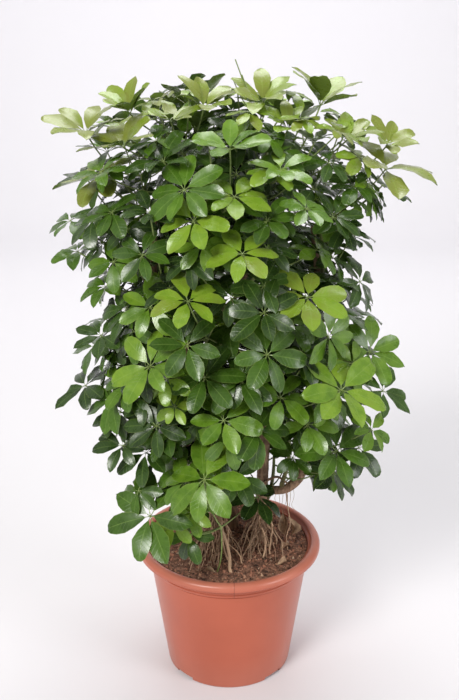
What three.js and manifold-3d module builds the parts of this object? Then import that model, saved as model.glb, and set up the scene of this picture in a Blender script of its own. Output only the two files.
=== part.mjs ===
// A dwarf umbrella plant in a round nursery pot, in millimetres, +Z up, front at -Y.
// The origin is the centre of the flat pad under the pot.
// Several woody stems rise from the soil with aerial roots round their feet. Leafy shoots leave
// the stems all round, and each leaf is a whorl of leaflets on a long petiole.
import * as THREE from 'three';
import { mergeVertices } from 'three/addons/utils/BufferGeometryUtils.js';
import Module from 'manifold-3d';

const wasm = await Module();
wasm.setup();

// Driving dimensions.
const RIM_RADIUS = 170;
const RIM_WIDTH = 16.5;
const RIM_DEPTH = 14;
const POT_HEIGHT = 251.7;
const BASE_RADIUS = 116.8;
const BODY_TOP_RADIUS = 146.5;
const COLLAR_RADIUS = 150;
const COLLAR_BOTTOM = 216;
const WALL = 3;
const SOIL_EDGE_HEIGHT = 239;
const SOIL_MOUND = 5;
const FIT_GAP = 0.4;
const POT_SIDES = 36;
const LEAF_RADIUS = 66;
const LEAF_LIFT = 1.3;
const LEAF_COUNT = 201;
const SHOOT_COUNT = 36;
const CLEARANCE = 0.9;
const SEED = 41;

const group = new THREE.Group();
const vec = (x, y, z) => new THREE.Vector3(x, y, z);
const UP = vec(0, 0, 1);

// One seeded stream of draws, so the plant grows the same way each time.
let drawState = SEED;
function draw(low, high) {
  drawState = (drawState + 0x6d2b79f5) | 0;
  let t = Math.imul(drawState ^ (drawState >>> 15), 1 | drawState);
  t = (t + Math.imul(t ^ (t >>> 7), 61 | t)) ^ t;
  return low + (high - low) * (((t ^ (t >>> 14)) >>> 0) / 4294967296);
}

function toSolid(geometry) {
  const bare = geometry.clone();
  bare.deleteAttribute('normal');
  bare.deleteAttribute('uv');
  const merged = mergeVertices(bare, 1e-4);
  return new wasm.Manifold(new wasm.Mesh({
    numProp: 3,
    vertProperties: new Float32Array(merged.attributes.position.array),
    triVerts: new Uint32Array(merged.index.array),
  }));
}

function toGeometry(solid) {
  const mesh = solid.getMesh();
  const geometry = new THREE.BufferGeometry();
  const points = new Float32Array(mesh.numVert * 3);
  for (let i = 0; i < mesh.numVert; i += 1) {
    points.set(mesh.vertProperties.subarray(i * mesh.numProp, i * mesh.numProp + 3), i * 3);
  }
  geometry.setAttribute('position', new THREE.BufferAttribute(points, 3));
  geometry.setIndex(new THREE.BufferAttribute(new Uint32Array(mesh.triVerts), 1));
  geometry.computeVertexNormals();
  return geometry;
}

function meshGeometry(points, triangles) {
  const geometry = new THREE.BufferGeometry();
  geometry.setFromPoints(points);
  geometry.setIndex(triangles.flat());
  return geometry;
}

function addPiece(name, geometry, material) {
  const mesh = new THREE.Mesh(geometry, material);
  mesh.name = name;
  group.add(mesh);
}

// A lathe turned to stand on Z, from (radius, height) pairs.
function turned(profile, sides) {
  const points = profile.map(([radius, height]) => new THREE.Vector2(radius, height));
  return new THREE.LatheGeometry(points, sides).rotateX(Math.PI / 2);
}

// A closed tapering tube: one ring of points at each place on the route, and flat ends.
function tube(route, radii, sides) {
  const points = [];
  const triangles = [];
  let across = vec(1, 0.3, 0);
  route.forEach((place, i) => {
    const before = route[Math.max(i - 1, 0)];
    const after = route[Math.min(i + 1, route.length - 1)];
    const along = after.clone().sub(before).normalize();
    across = across.clone().addScaledVector(along, -across.dot(along)).normalize();
    const side = along.clone().cross(across);
    for (let k = 0; k < sides; k += 1) {
      const turn = (2 * Math.PI * k) / sides;
      points.push(place.clone()
        .addScaledVector(across, radii[i] * Math.cos(turn))
        .addScaledVector(side, radii[i] * Math.sin(turn)));
    }
  });
  for (let i = 0; i + 1 < route.length; i += 1) {
    for (let k = 0; k < sides; k += 1) {
      const a = i * sides + k;
      const b = i * sides + ((k + 1) % sides);
      triangles.push([a, b, b + sides], [a, b + sides, a + sides]);
    }
  }
  const last = (route.length - 1) * sides;
  for (let k = 1; k + 1 < sides; k += 1) {
    triangles.push([0, k + 1, k], [last, last + k, last + k + 1]);
  }
  return meshGeometry(points, triangles);
}

// ---------------------------------------------------------------- pot
// One moulding: tapering wall, low collar, wide rim open below, foot ring with four drain notches.
const potMaterial = new THREE.MeshStandardMaterial({ color: 0xc2664c, roughness: 0.42, metalness: 0 });
const FOOT_INNER = 101;
const CHANNEL_HEIGHT = 6;
const PAD_RADIUS = 60;
const DRAIN_RADIUS = 6;
const DRAIN_CIRCLE = 81;
const NOTCH_WIDTH = 40;
const bodySlope = (BODY_TOP_RADIUS - BASE_RADIUS) / COLLAR_BOTTOM;
const wallRadius = (height) => BASE_RADIUS + bodySlope * height;

function potSolid() {
  const rimFoot = POT_HEIGHT - RIM_DEPTH;
  const profile = [
    [0, 0], [PAD_RADIUS, 0], [PAD_RADIUS + 4, CHANNEL_HEIGHT], [FOOT_INNER - 3, CHANNEL_HEIGHT],
    [FOOT_INNER, 0], [BASE_RADIUS - 3, 0], [BASE_RADIUS + 0.3, 4],
    [BODY_TOP_RADIUS, COLLAR_BOTTOM], [COLLAR_RADIUS, COLLAR_BOTTOM + 1.5],
    [COLLAR_RADIUS + 0.4, rimFoot - 3], [COLLAR_RADIUS + 4, rimFoot + 7],
    [RIM_RADIUS - 5, rimFoot + 8], [RIM_RADIUS - 3, rimFoot], [RIM_RADIUS - 0.4, rimFoot],
    [RIM_RADIUS, rimFoot + 5], [RIM_RADIUS - 1.6, POT_HEIGHT - 3.6],
    [RIM_RADIUS - 5.5, POT_HEIGHT - 0.7], [RIM_RADIUS - 10, POT_HEIGHT],
    [RIM_RADIUS - 14.5, POT_HEIGHT - 1.4], [RIM_RADIUS - RIM_WIDTH, POT_HEIGHT - 4.5],
    [COLLAR_RADIUS - WALL + 1, POT_HEIGHT - 10], [COLLAR_RADIUS - WALL, COLLAR_BOTTOM + 3],
    [wallRadius(COLLAR_BOTTOM) - WALL, COLLAR_BOTTOM + 1],
    [wallRadius(CHANNEL_HEIGHT + WALL) - WALL, CHANNEL_HEIGHT + WALL],
    [0, CHANNEL_HEIGHT + WALL],
  ];
  let pot = toSolid(turned(profile, POT_SIDES));
  for (let i = 0; i < 4; i += 1) {
    const notch = new THREE.BoxGeometry(NOTCH_WIDTH, 40, 14);
    notch.translate(0, FOOT_INNER + 8, 0);
    notch.rotateZ(THREE.MathUtils.degToRad(45 + 90 * i));
    pot = pot.subtract(toSolid(notch));
  }
  for (let i = 0; i < 6; i += 1) {
    const drain = new THREE.CylinderGeometry(DRAIN_RADIUS, DRAIN_RADIUS, 30, 8).rotateX(Math.PI / 2);
    const turn = THREE.MathUtils.degToRad(60 * i);
    drain.translate(DRAIN_CIRCLE * Math.cos(turn), DRAIN_CIRCLE * Math.sin(turn), 0);
    pot = pot.subtract(toSolid(drain));
  }
  return pot;
}

// ---------------------------------------------------------------- woody stems and aerial roots
// Each woody stem is a list of places from below the soil to its top, with a radius at each place.
const barkMaterial = new THREE.MeshStandardMaterial({ color: 0x8a6a4d, roughness: 0.85, metalness: 0 });
const STEM_SIDES = 6;
const ROOT_SIDES = 3;
const woodyStems = {
  stem_main: [
    { route: [[58, 12, 170], [59, 10, 240], [61, 6, 335], [63, 1, 425], [62, 2, 446], [56, 12, 520],
      [40, 8, 640], [26, -6, 760], [18, -10, 860], [8, -6, 930]],
    radii: [13, 12.5, 9.6, 9.2, 12, 8, 7, 6, 5, 4] },
    { route: [[61, 2, 352], [84, -6, 350], [108, -12, 358], [132, -14, 386], [146, -8, 440],
      [158, -2, 540], [160, 2, 650], [150, 0, 760], [140, -6, 840]],
    radii: [8, 8, 8.2, 7.6, 7, 6.4, 5.6, 5, 4.2] },
    { route: [[62, 0, 362], [70, -14, 374], [88, -24, 386], [106, -26, 374]],
    radii: [2.6, 2.4, 2.2, 1.6] },
    { route: [[60, 4, 424], [48, -6, 436], [38, -12, 440]], radii: [6, 5.5, 5] },
  ],
  stem_left: [
    { route: [[-24, 4, 170], [-28, 6, 240], [-34, 6, 320], [-52, 4, 420], [-84, -4, 520],
      [-112, -8, 640], [-126, -8, 760], [-122, -4, 870]],
    radii: [18, 16.5, 13, 10, 8, 6.6, 5.4, 4.2] },
    { route: [[-49, 4, 405], [-70, -22, 440], [-84, -60, 500], [-80, -86, 590], [-62, -98, 700]],
    radii: [6.5, 6, 5.4, 4.8, 4] },
  ],
  stem_middle: [
    { route: [[14, 42, 170], [10, 46, 240], [0, 52, 340], [-14, 72, 460], [-30, 96, 580],
      [-44, 110, 700], [-50, 112, 820]],
    radii: [11, 10.5, 8.8, 7.2, 6, 5, 4.2] },
  ],
  stem_right: [
    { route: [[50, 52, 170], [56, 58, 240], [66, 70, 350], [82, 88, 470], [96, 104, 590],
      [98, 110, 700], [92, 106, 820]],
    radii: [8.5, 8, 7.2, 6.4, 5.6, 4.8, 4] },
  ],
};

// Aerial roots leave a stem low down and slant to the soil, most of them at the front.
// Each row: stem, start on the stem's axis, bend, foot in the soil, radius.
const aerialRoots = [
  ['stem_left', [-30, 4, 312], [-6, -60, 290], [12, -136, 214], 3],
  ['stem_left', [-32, 6, 330], [-8, -34, 280], [2, -96, 214], 2.2],
  ['stem_left', [-31, 6, 300], [-20, -34, 270], [-14, -82, 214], 1.8],
  ['stem_left', [-32, 6, 320], [-40, -24, 285], [-40, -62, 214], 2],
  ['stem_left', [-33, 6, 300], [-58, -10, 262], [-76, -34, 214], 1.8],
  ['stem_left', [-33, 6, 322], [-4, -22, 292], [14, -76, 214], 1.8],
  ['stem_main', [60, 8, 318], [44, -16, 276], [30, -54, 214], 2.2],
  ['stem_main', [60, 8, 300], [52, -20, 262], [46, -62, 214], 1.8],
  ['stem_main', [60, 7, 330], [58, -30, 284], [60, -76, 214], 2],
  ['stem_main', [61, 6, 340], [72, -22, 288], [80, -58, 214], 2],
  ['stem_main', [60, 8, 300], [84, -6, 262], [98, -26, 214], 1.8],
  ['stem_main', [104, -11, 357], [106, -22, 300], [112, -40, 214], 1.6],
];

// Grown by the gap, a stem or a root is the hole that it stands in.
function stemGeometry({ route, radii }, sides, grow) {
  const places = route.map(([x, y, z], i) => vec(x, y, i === 0 ? z - grow : z));
  return tube(places, radii.map((radius) => radius + grow), sides);
}

function rootGeometry([, start, bend, foot, radius], grow) {
  const curve = new THREE.QuadraticBezierCurve3(vec(...start), vec(...bend), vec(...foot));
  const places = curve.getPoints(4);
  const end = places.at(-1).clone().sub(places.at(-2)).normalize();
  places.at(-1).addScaledVector(end, grow);
  return tube(places, [1, 0.9, 1.1, 0.95, 0.7].map((share) => share * radius + grow), ROOT_SIDES);
}

const woodSolids = {};
const woodWithGap = {};
const soilHoles = [];
for (const [name, parts] of Object.entries(woodyStems)) {
  const roots = aerialRoots.filter((row) => row[0] === name);
  woodSolids[name] = [
    ...parts.map((part) => toSolid(stemGeometry(part, STEM_SIDES, 0))),
    ...roots.map((row) => toSolid(rootGeometry(row, 0))),
  ].reduce((whole, piece) => whole.add(piece));
  woodWithGap[name] = parts.map((part) => toSolid(stemGeometry(part, STEM_SIDES, FIT_GAP)))
    .reduce((whole, piece) => whole.add(piece));
  soilHoles.push(toSolid(stemGeometry(parts[0], STEM_SIDES, FIT_GAP)));
  soilHoles.push(...roots.map((row) => toSolid(rootGeometry(row, FIT_GAP))));
}

// ---------------------------------------------------------------- soil
// The soil fills the pot to a little below the rim, in a low uneven mound, with a plain hole for
// each stem and root that goes into it.
const soilMaterial = new THREE.MeshStandardMaterial({ color: 0x4a3327, roughness: 0.95, metalness: 0 });

function soilSolid() {
  const shrink = FIT_GAP;
  const floor = CHANNEL_HEIGHT + WALL + FIT_GAP;
  const profile = [
    [0, floor],
    [wallRadius(floor) - WALL - shrink, floor],
    [wallRadius(COLLAR_BOTTOM) - WALL - shrink, COLLAR_BOTTOM],
    [COLLAR_RADIUS - WALL - shrink - 1, SOIL_EDGE_HEIGHT],
    [106, SOIL_EDGE_HEIGHT + 2],
    [56, SOIL_EDGE_HEIGHT + 4],
    [0, SOIL_EDGE_HEIGHT + SOIL_MOUND],
  ];
  const mound = turned(profile, POT_SIDES);
  const place = mound.attributes.position;
  for (let i = 0; i < place.count; i += 1) {
    const x = place.getX(i);
    const y = place.getY(i);
    if (place.getZ(i) > SOIL_EDGE_HEIGHT + 1) {
      const ripple = 1.6 * Math.sin(x / 17 + 1) * Math.cos(y / 13) + Math.sin(x / 9 - y / 23);
      place.setZ(i, place.getZ(i) + ripple);
    }
  }
  return soilHoles.reduce((whole, hole) => whole.subtract(hole), toSolid(mound));
}

// ---------------------------------------------------------------- leafy shoots
const matureMaterial = new THREE.MeshStandardMaterial({ color: 0x3c6b2a, roughness: 0.38, metalness: 0 });
const youngMaterial = new THREE.MeshStandardMaterial({ color: 0x76a83a, roughness: 0.42, metalness: 0 });
const YOUNG_EVERY = 3;
const SHOOT_SIDES = 4;
const PETIOLE_RADIUS = 1.5;
const HUB_DEPTH = 4;
const NOTCH_SHARE = 0.15;
const WIDEST_SHARE = 0.7;
const GOLDEN_ANGLE = Math.PI * (3 - Math.sqrt(5));

// How far the leaf hubs stand from the plant's axis, as [height, half width] pairs.
const bushOutline = [
  [380, 90], [430, 150], [490, 190], [560, 222], [640, 226], [720, 218], [800, 226], [880, 244],
  [950, 252], [995, 222], [1016, 150], [1028, 60],
];
const DEPTH_SHARE = 0.95;
const BUSH_FOOT = 400;
const BUSH_RISE = 600;

// At the front the stems' feet and the soil stay open to view, up to a height. So do the places
// before the main stem, in the waist at the right and at the lower left.
const OPEN_FRONT = { depth: 40, height: 440 };
const OPEN_BOXES = [
  { low: [15, -400, 300], high: [120, 0, 550] },
  { low: [140, -400, 730], high: [400, 400, 890] },
  { low: [-400, -400, 300], high: [-120, 400, 470] },
];

function bushRadius(height) {
  for (let i = 1; i < bushOutline.length; i += 1) {
    const [low, lowRadius] = bushOutline[i - 1];
    const [high, highRadius] = bushOutline[i];
    if (height <= high) {
      const share = Math.max(0, (height - low) / (high - low));
      return THREE.MathUtils.lerp(lowRadius, highRadius, share);
    }
  }
  return bushOutline.at(-1)[1];
}

// A leaf turns from facing outwards low on the plant to facing up at its top. The leaves that
// mark the front also turn a little towards the front.
function facing(hub, forward, climb) {
  return vec(hub.x, hub.y, 0).normalize().multiplyScalar((1 - 0.45 * forward) * (1 - 0.75 * climb))
    .addScaledVector(vec(0, -1, 0), forward * 0.5 * (1 - 0.4 * climb))
    .addScaledVector(UP, LEAF_LIFT + 0.4 * climb)
    .normalize();
}

// One leaf: leaflets cut to the rib in one thin blade, which thickens to the petiole at its hub.
// Each leaflet has a notch, a widest place on both sides and a blunt tip. The petiole is
// three-sided and ends in the foot, three points on a flat of the shoot.
function leafTriangles({ hub, normal, foot, radius, leaflets, spin, cup, droop, lengths }) {
  const first = vec(1, 0.2, 0.1).cross(normal).normalize();
  const second = normal.clone().cross(first);
  const points = [hub.clone()];
  const turns = [];
  const put = (turn, reach, aside) => {
    const height = reach * Math.tan(cup) - droop * radius * (reach / radius) ** 2;
    const out = first.clone().multiplyScalar(Math.cos(turn)).addScaledVector(second, Math.sin(turn));
    const side = normal.clone().cross(out);
    points.push(hub.clone().addScaledVector(out, reach).addScaledVector(side, aside)
      .addScaledVector(normal, height));
    turns.push(turn + Math.atan2(aside, reach));
  };
  const step = (2 * Math.PI) / leaflets;
  const halfWidth = radius * (leaflets > 5 ? 0.2 : 0.24);
  for (let i = 0; i < leaflets; i += 1) {
    const turn = spin + i * step;
    const reach = radius * lengths[i];
    put(turn - step / 2, radius * NOTCH_SHARE, 0);
    put(turn, reach * WIDEST_SHARE, -halfWidth);
    put(turn, reach, 0);
    put(turn, reach * WIDEST_SHARE, halfWidth);
  }
  const outlineCount = turns.length;
  const footCentre = foot[0].clone().add(foot[1]).add(foot[2]).divideScalar(3);
  const along = hub.clone().sub(footCentre).normalize();
  const across = first.clone().addScaledVector(along, -first.dot(along)).normalize();
  const side = along.clone().cross(across);
  const offset = foot[0].clone().sub(footCentre);
  const ringTurn = Math.atan2(offset.dot(side), offset.dot(across));
  const ringStart = points.length;
  for (let j = 0; j < 3; j += 1) {
    const turn = ringTurn + (j * 2 * Math.PI) / 3;
    points.push(hub.clone().addScaledVector(along, -HUB_DEPTH)
      .addScaledVector(across, PETIOLE_RADIUS * Math.cos(turn))
      .addScaledVector(side, PETIOLE_RADIUS * Math.sin(turn)));
  }
  points.push(...foot);
  const sector = (k) => Math.floor((turns[k % outlineCount] - ringTurn) / ((2 * Math.PI) / 3) + 0.5)
    + (k >= outlineCount ? 3 : 0);
  const triangles = [];
  for (let k = 0; k < outlineCount; k += 1) {
    const here = 1 + k;
    const next = 1 + ((k + 1) % outlineCount);
    const below = ringStart + (((sector(k) % 3) + 3) % 3);
    const belowNext = ringStart + (((sector(k + 1) % 3) + 3) % 3);
    triangles.push([0, here, next], [next, here, below]);
    if (below !== belowNext) {
      triangles.push([next, below, belowNext]);
      triangles.push([belowNext, below, below + 3], [belowNext, below + 3, belowNext + 3]);
    }
  }
  return { points, triangles, end: [ringStart + 3, ringStart + 5, ringStart + 4] };
}

function leafSolid(leaf) {
  return toSolid(meshGeometry(leaf.points, [...leaf.triangles, leaf.end]));
}

// The flat places of a shoot that a petiole can stand on: for each facet, the triangle of the
// petiole's foot round the facet's middle, and the facet itself.
function facetsOf(solid) {
  const geometry = toGeometry(solid);
  const place = geometry.attributes.position;
  const corner = (index) => vec(0, 0, 0).fromBufferAttribute(place, index);
  const facets = [];
  for (let i = 0; i < geometry.index.count; i += 3) {
    const corners = [0, 1, 2].map((k) => corner(geometry.index.getX(i + k)));
    const sides = [0, 1, 2].map((k) => corners[(k + 1) % 3].distanceTo(corners[(k + 2) % 3]));
    const rim = sides[0] + sides[1] + sides[2];
    const middle = vec(0, 0, 0);
    corners.forEach((point, k) => middle.addScaledVector(point, sides[k] / rim));
    const normal = corners[1].clone().sub(corners[0]).cross(corners[2].clone().sub(corners[0]));
    const inner = normal.length() / rim;
    const size = Math.min(PETIOLE_RADIUS, 0.8 * inner);
    const foot = corners.map((point) => middle.clone()
      .addScaledVector(point.clone().sub(middle).normalize(), size));
    facets.push({ corners, middle, normal: normal.normalize(), foot, inner, leaf: null });
  }
  return facets;
}

// The shoot with its leaves: each facet that carries a leaf opens into the petiole's foot.
function shootWithLeaves(shoot) {
  const points = [];
  const triangles = [];
  const addTriangle = (a, b, c) => {
    triangles.push([points.length, points.length + 1, points.length + 2]);
    points.push(a, b, c);
  };
  for (const { corners, foot, leaf } of shoot.facets) {
    if (leaf === null) {
      addTriangle(...corners);
      continue;
    }
    for (let k = 0; k < 3; k += 1) {
      const next = (k + 1) % 3;
      addTriangle(corners[k], corners[next], foot[next]);
      addTriangle(corners[k], foot[next], foot[k]);
    }
    for (const [a, b, c] of leaf.triangles) {
      addTriangle(leaf.points[a], leaf.points[b], leaf.points[c]);
    }
  }
  return toSolid(meshGeometry(points, triangles));
}

// What has been placed so far, to keep each new piece clear of it.
const placed = [];

function boxesMeet(a, b, gap) {
  for (let axis = 0; axis < 3; axis += 1) {
    if (a.min[axis] > b.max[axis] + gap || b.min[axis] > a.max[axis] + gap) {
      return false;
    }
  }
  return true;
}

function remember(solid, owner) {
  placed.push({ solid, owner, box: solid.boundingBox() });
}

function isClear(solid, normal, others) {
  const box = solid.boundingBox();
  const near = others.filter((other) => boxesMeet(box, other.box, CLEARANCE));
  return [CLEARANCE, -CLEARANCE].every((shift) => {
    const moved = solid.translate([normal.x * shift, normal.y * shift, normal.z * shift]);
    return near.every((other) => moved.intersect(other.solid).isEmpty());
  });
}

const pot = potSolid();
const soil = soilSolid();
remember(pot, 'pot');
remember(soil, 'soil');
for (const [name, solid] of Object.entries(woodSolids)) {
  remember(solid, name);
}

// The shoots: each starts on the woody stem nearest to its tip, lower down, and bows outwards.
// Its foot is cut to the stem's own surface, with a small gap.
const LEAST_WOOD = 3.8;
const LOWEST_SHOOT = 300;
function nearestOnWood(target) {
  let best = null;
  for (const [owner, parts] of Object.entries(woodyStems)) {
    for (const { route, radii } of parts) {
      for (let i = 1; i < route.length; i += 1) {
        for (const share of [0.15, 0.4, 0.65, 0.9]) {
          const place = vec(...route[i - 1]).lerp(vec(...route[i]), share);
          const radius = THREE.MathUtils.lerp(radii[i - 1], radii[i], share);
          const miss = place.distanceTo(target);
          const bearing = radius > LEAST_WOOD && place.z > LOWEST_SHOOT;
          if (bearing && (best === null || miss < best.miss)) {
            best = { owner, place, radius, miss };
          }
        }
      }
    }
  }
  return best;
}

// The shoots' tips wind up the bush, and the last few stand in its crown.
const SHOOT_RADII = [4.4, 3.9, 3.5, 3.2, 2.3];
const SHOOT_TRIES = 80;
const CROWN_START = SHOOT_COUNT - 5;
const shoots = [];
for (let i = 0; i < SHOOT_COUNT; i += 1) {
  const name = `shoot_${String(i + 1).padStart(2, '0')}`;
  const level = (i + 0.5) / SHOOT_COUNT;
  const height = BUSH_FOOT + BUSH_RISE * level ** 0.9;
  for (let attempt = 0; attempt < SHOOT_TRIES; attempt += 1) {
    const turn = i * GOLDEN_ANGLE + draw(-0.16, 0.16) * (1 + attempt / 8);
    const share = i >= CROWN_START ? draw(0.1, 0.5) : draw(0.56, 0.72);
    const reach = bushRadius(height) * share;
    const tip = vec(reach * Math.cos(turn), reach * Math.sin(turn), height + draw(-12, 12));
    const outwards = vec(Math.cos(turn), Math.sin(turn), 0);
    const aim = tip.clone().addScaledVector(outwards, -40).addScaledVector(UP, -draw(110, 150));
    const start = nearestOnWood(aim);
    const bend = start.place.clone().lerp(tip, 0.5).addScaledVector(outwards, 14);
    bend.z -= 16;
    const curve = new THREE.QuadraticBezierCurve3(start.place, bend, tip);
    const radii = SHOOT_RADII.map((radius) => Math.min(radius, start.radius));
    const solid = toSolid(tube(curve.getPoints(radii.length - 1), radii, SHOOT_SIDES))
      .subtract(woodWithGap[start.owner]);
    const whole = solid.decompose().length === 1;
    const sideways = outwards.clone().cross(UP);
    const others = placed.filter((other) => other.owner !== start.owner);
    if (whole && isClear(solid, sideways, others)) {
      remember(solid, name);
      shoots.push({ name, solid, facets: facetsOf(solid) });
      break;
    }
  }
}

// ---------------------------------------------------------------- leaves
// The leaves that mark the front of the bush: the place of the hub, the leaf's radius and, for
// some, how far it turns up, from 0 to 1.
const frontLeaves = [
  [244, -75, 944, 86, 1], [-203, -60, 929, 75, 0.9], [-220, -70, 1000, 64, 1], [-158, -110, 982, 66],
  [142, -50, 1040, 68], [51, -60, 1041, 62], [-36, -70, 1038, 54], [-85, -100, 1024, 52],
  [-60, -225, 775, 60], [-120, -215, 670, 68], [-120, -170, 748, 58], [-252, -20, 800, 56, 0.7],
  [-200, -70, 755, 56], [-205, -110, 684, 58], [-245, -60, 576, 62], [-184, -90, 541, 56],
  [-167, -130, 607, 50], [-117, -170, 549, 60], [-177, -130, 498, 50], [-84, -190, 592, 34],
  [-9, -215, 579, 60], [-39, -215, 477, 76], [-128, -180, 392, 86], [-66, -150, 340, 50],
  [49, -90, 381, 56, 1], [108, -120, 470, 46], [126, -160, 546, 54], [178, -130, 484, 76],
  [79, -200, 613, 56], [172, -200, 624, 76], [238, -120, 521, 44], [260, -70, 570, 60],
  [229, -110, 655, 64], [54, -215, 755, 62], [59, -215, 689, 62], [122, -190, 773, 66],
  [19, -235, 846, 58], [181, -90, 855, 50], [200, -30, 830, 54], [54, -205, 888, 50],
  [10, -205, 923, 56], [2, -180, 988, 58], [88, -100, 1012, 50], [122, -120, 1000, 44],
  [182, -60, 985, 54], [252, -30, 974, 54], [126, -140, 926, 58], [190, -120, 925, 50],
  [-150, -70, 1028, 54], [-97, -150, 965, 58], [-116, -180, 898, 50], [-177, -140, 890, 52],
  [-215, -90, 868, 54], [-51, -215, 890, 60], [-129, -190, 834, 50], [-58, -190, 825, 50],
  [-180, -120, 808, 50], [-258, -30, 855, 50, 0.8], [-230, -40, 640, 52],
  [222, -80, 470, 58],
];
const PETIOLE_RANGE = [28, 165];
const PETIOLE_USUAL = 80;
const PLACING_TRIES = 30;
const LEAST_FACET = 1.2;
const LEAST_LEAN = 0.3;
const LEAST_FACET_LEAN = 0.35;
const LEAN_WORTH = 60;
const FEET_TRIED = 8;
// How far a leaf wanders and tilts at random where it stands loosely, and how much more at each
// new try.
const WANDER = { start: 2, more: 0.8 };
const TILT = { start: 0.17, more: 0.012 };
// The angle that leaflets rise at, in degrees, low on the bush and in its crown, and their droop.
const CUP_LOW = [0, 12];
const CUP_CROWN = [24, 42];
const DROOP_LOW = [0.1, 0.3];
const DROOP_CROWN = 0.08;

// The facets of the shoots that a petiole can leave from, best first for this hub.
function petioleFeet(hub, normal) {
  const found = [];
  for (const shoot of shoots) {
    for (const facet of shoot.facets) {
      const away = hub.clone().sub(facet.middle);
      const length = away.length();
      away.divideScalar(length);
      const lean = away.dot(normal);
      const inReach = length > PETIOLE_RANGE[0] && length < PETIOLE_RANGE[1];
      if (facet.leaf === null && facet.inner > LEAST_FACET && inReach && lean > LEAST_LEAN
        && away.dot(facet.normal) > LEAST_FACET_LEAN) {
        found.push({ shoot, facet, cost: Math.abs(length - PETIOLE_USUAL) - LEAN_WORTH * lean });
      }
    }
  }
  return found.sort((a, b) => a.cost - b.cost).slice(0, FEET_TRIED);
}

// Grows a leaf near the hub, on the shoot that suits it, where it is clear of all other pieces.
function growLeaf(hub, radius, leaflets, loose, forward, upward) {
  for (let attempt = 0; attempt < PLACING_TRIES; attempt += 1) {
    const wander = loose * (WANDER.start + attempt * WANDER.more);
    const place = hub.clone()
      .add(vec(draw(-wander, wander), draw(-wander, wander), draw(-wander, wander)));
    const climb = Math.max(upward, THREE.MathUtils.smoothstep(place.z, 800, 990));
    const tilt = vec(draw(-1, 1), draw(-1, 1), draw(-1, 1));
    const normal = facing(place, forward, climb)
      .addScaledVector(tilt, loose * TILT.start + attempt * TILT.more).normalize();
    const choices = petioleFeet(place, normal);
    if (choices.length === 0) {
      continue;
    }
    const { shoot, facet } = choices[Math.min(attempt % 4, choices.length - 1)];
    const along = place.clone().sub(facet.middle).normalize();
    normal.addScaledVector(along, 0.25).normalize();
    const raised = THREE.MathUtils.smoothstep(place.z, 900, 1040);
    const spec = {
      hub: place,
      normal,
      foot: facet.foot,
      radius: radius * (1 - attempt * 0.006),
      leaflets,
      spin: draw(0, 2 * Math.PI),
      cup: THREE.MathUtils.degToRad(THREE.MathUtils.lerp(draw(...CUP_LOW), draw(...CUP_CROWN), raised)),
      droop: THREE.MathUtils.lerp(draw(...DROOP_LOW), DROOP_CROWN, raised),
      lengths: Array.from({ length: leaflets }, () => draw(0.84, 1.06)),
    };
    const leaf = leafTriangles(spec);
    const halfWay = facet.foot.map((point) => point.clone().addScaledVector(along, 12));
    const blade = leafSolid(leafTriangles({ ...spec, foot: halfWay }));
    const solid = leafSolid(leaf);
    const others = placed.filter((other) => other.owner !== shoot.name);
    const own = placed.filter((other) => other.owner === shoot.name);
    if (isClear(solid, normal, others) && isClear(blade, normal, own)) {
      remember(solid, 'leaf');
      facet.leaf = leaf;
      return true;
    }
  }
  return false;
}

// The other leaves stand evenly over the bush, each new hub in the widest space of several draws.
const outlineBands = bushOutline.slice(1).map(([high, highRadius], i) => {
  const [low, lowRadius] = bushOutline[i];
  const slant = Math.hypot(high - low, highRadius - lowRadius);
  return { low, high, area: slant * (lowRadius + highRadius) };
});
const outlineArea = outlineBands.reduce((sum, band) => sum + band.area, 0);

// A place on the bush's outline, or inside it where the depth is less than 1.
function drawHub(depth) {
  let left = draw(0, outlineArea);
  const band = outlineBands.find(({ area }) => {
    left -= area;
    return left <= 0;
  });
  const height = draw(band.low, band.high);
  const turn = draw(0, 2 * Math.PI);
  const reach = bushRadius(height) * depth;
  const lowered = THREE.MathUtils.lerp(height, BUSH_FOOT, 0.6 * (1 - depth));
  return vec(reach * Math.cos(turn), DEPTH_SHARE * reach * Math.sin(turn), lowered);
}

function isLeftOpen(hub) {
  const inBox = OPEN_BOXES.some(({ low, high }) => (
    hub.toArray().every((value, axis) => value > low[axis] && value < high[axis])));
  return inBox || (hub.y < OPEN_FRONT.depth && hub.z < OPEN_FRONT.height);
}

// Of every few leaves one grows inside the bush.
const INNER_EVERY = 5;
const HUB_DRAWS = 14;
const MOST_DRAWS = 1.6;
const LARGE_LEAFLETS = 7;
const SMALL_LEAFLETS = 5;
const hubs = [];
for (const [x, y, z, radius, upward = 0] of frontLeaves) {
  if (growLeaf(vec(x, y, z), radius, LARGE_LEAFLETS, 1, 1, upward)) {
    hubs.push(vec(x, y, z));
  }
}
for (let i = 0; hubs.length < LEAF_COUNT && i < LEAF_COUNT * MOST_DRAWS; i += 1) {
  const depth = i % INNER_EVERY === 0 ? draw(0.45, 0.75) : draw(0.9, 1);
  let best = null;
  for (let k = 0; k < HUB_DRAWS; k += 1) {
    const hub = drawHub(depth);
    const room = Math.min(...hubs.map((other) => other.distanceTo(hub)));
    if (best === null || room > best.room) {
      best = { hub, room };
    }
  }
  const radius = LEAF_RADIUS * draw(0.82, 1.1);
  if (!isLeftOpen(best.hub) && growLeaf(best.hub, radius, SMALL_LEAFLETS, 2, 0, 0)) {
    hubs.push(best.hub);
  }
}

addPiece('pot', toGeometry(pot), potMaterial);
addPiece('soil', toGeometry(soil), soilMaterial);
for (const [name, solid] of Object.entries(woodSolids)) {
  addPiece(name, toGeometry(solid), barkMaterial);
}
shoots.forEach((shoot, i) => {
  const material = i % YOUNG_EVERY === 0 ? youngMaterial : matureMaterial;
  addPiece(shoot.name, toGeometry(shootWithLeaves(shoot)), material);
});

export default group;
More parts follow.
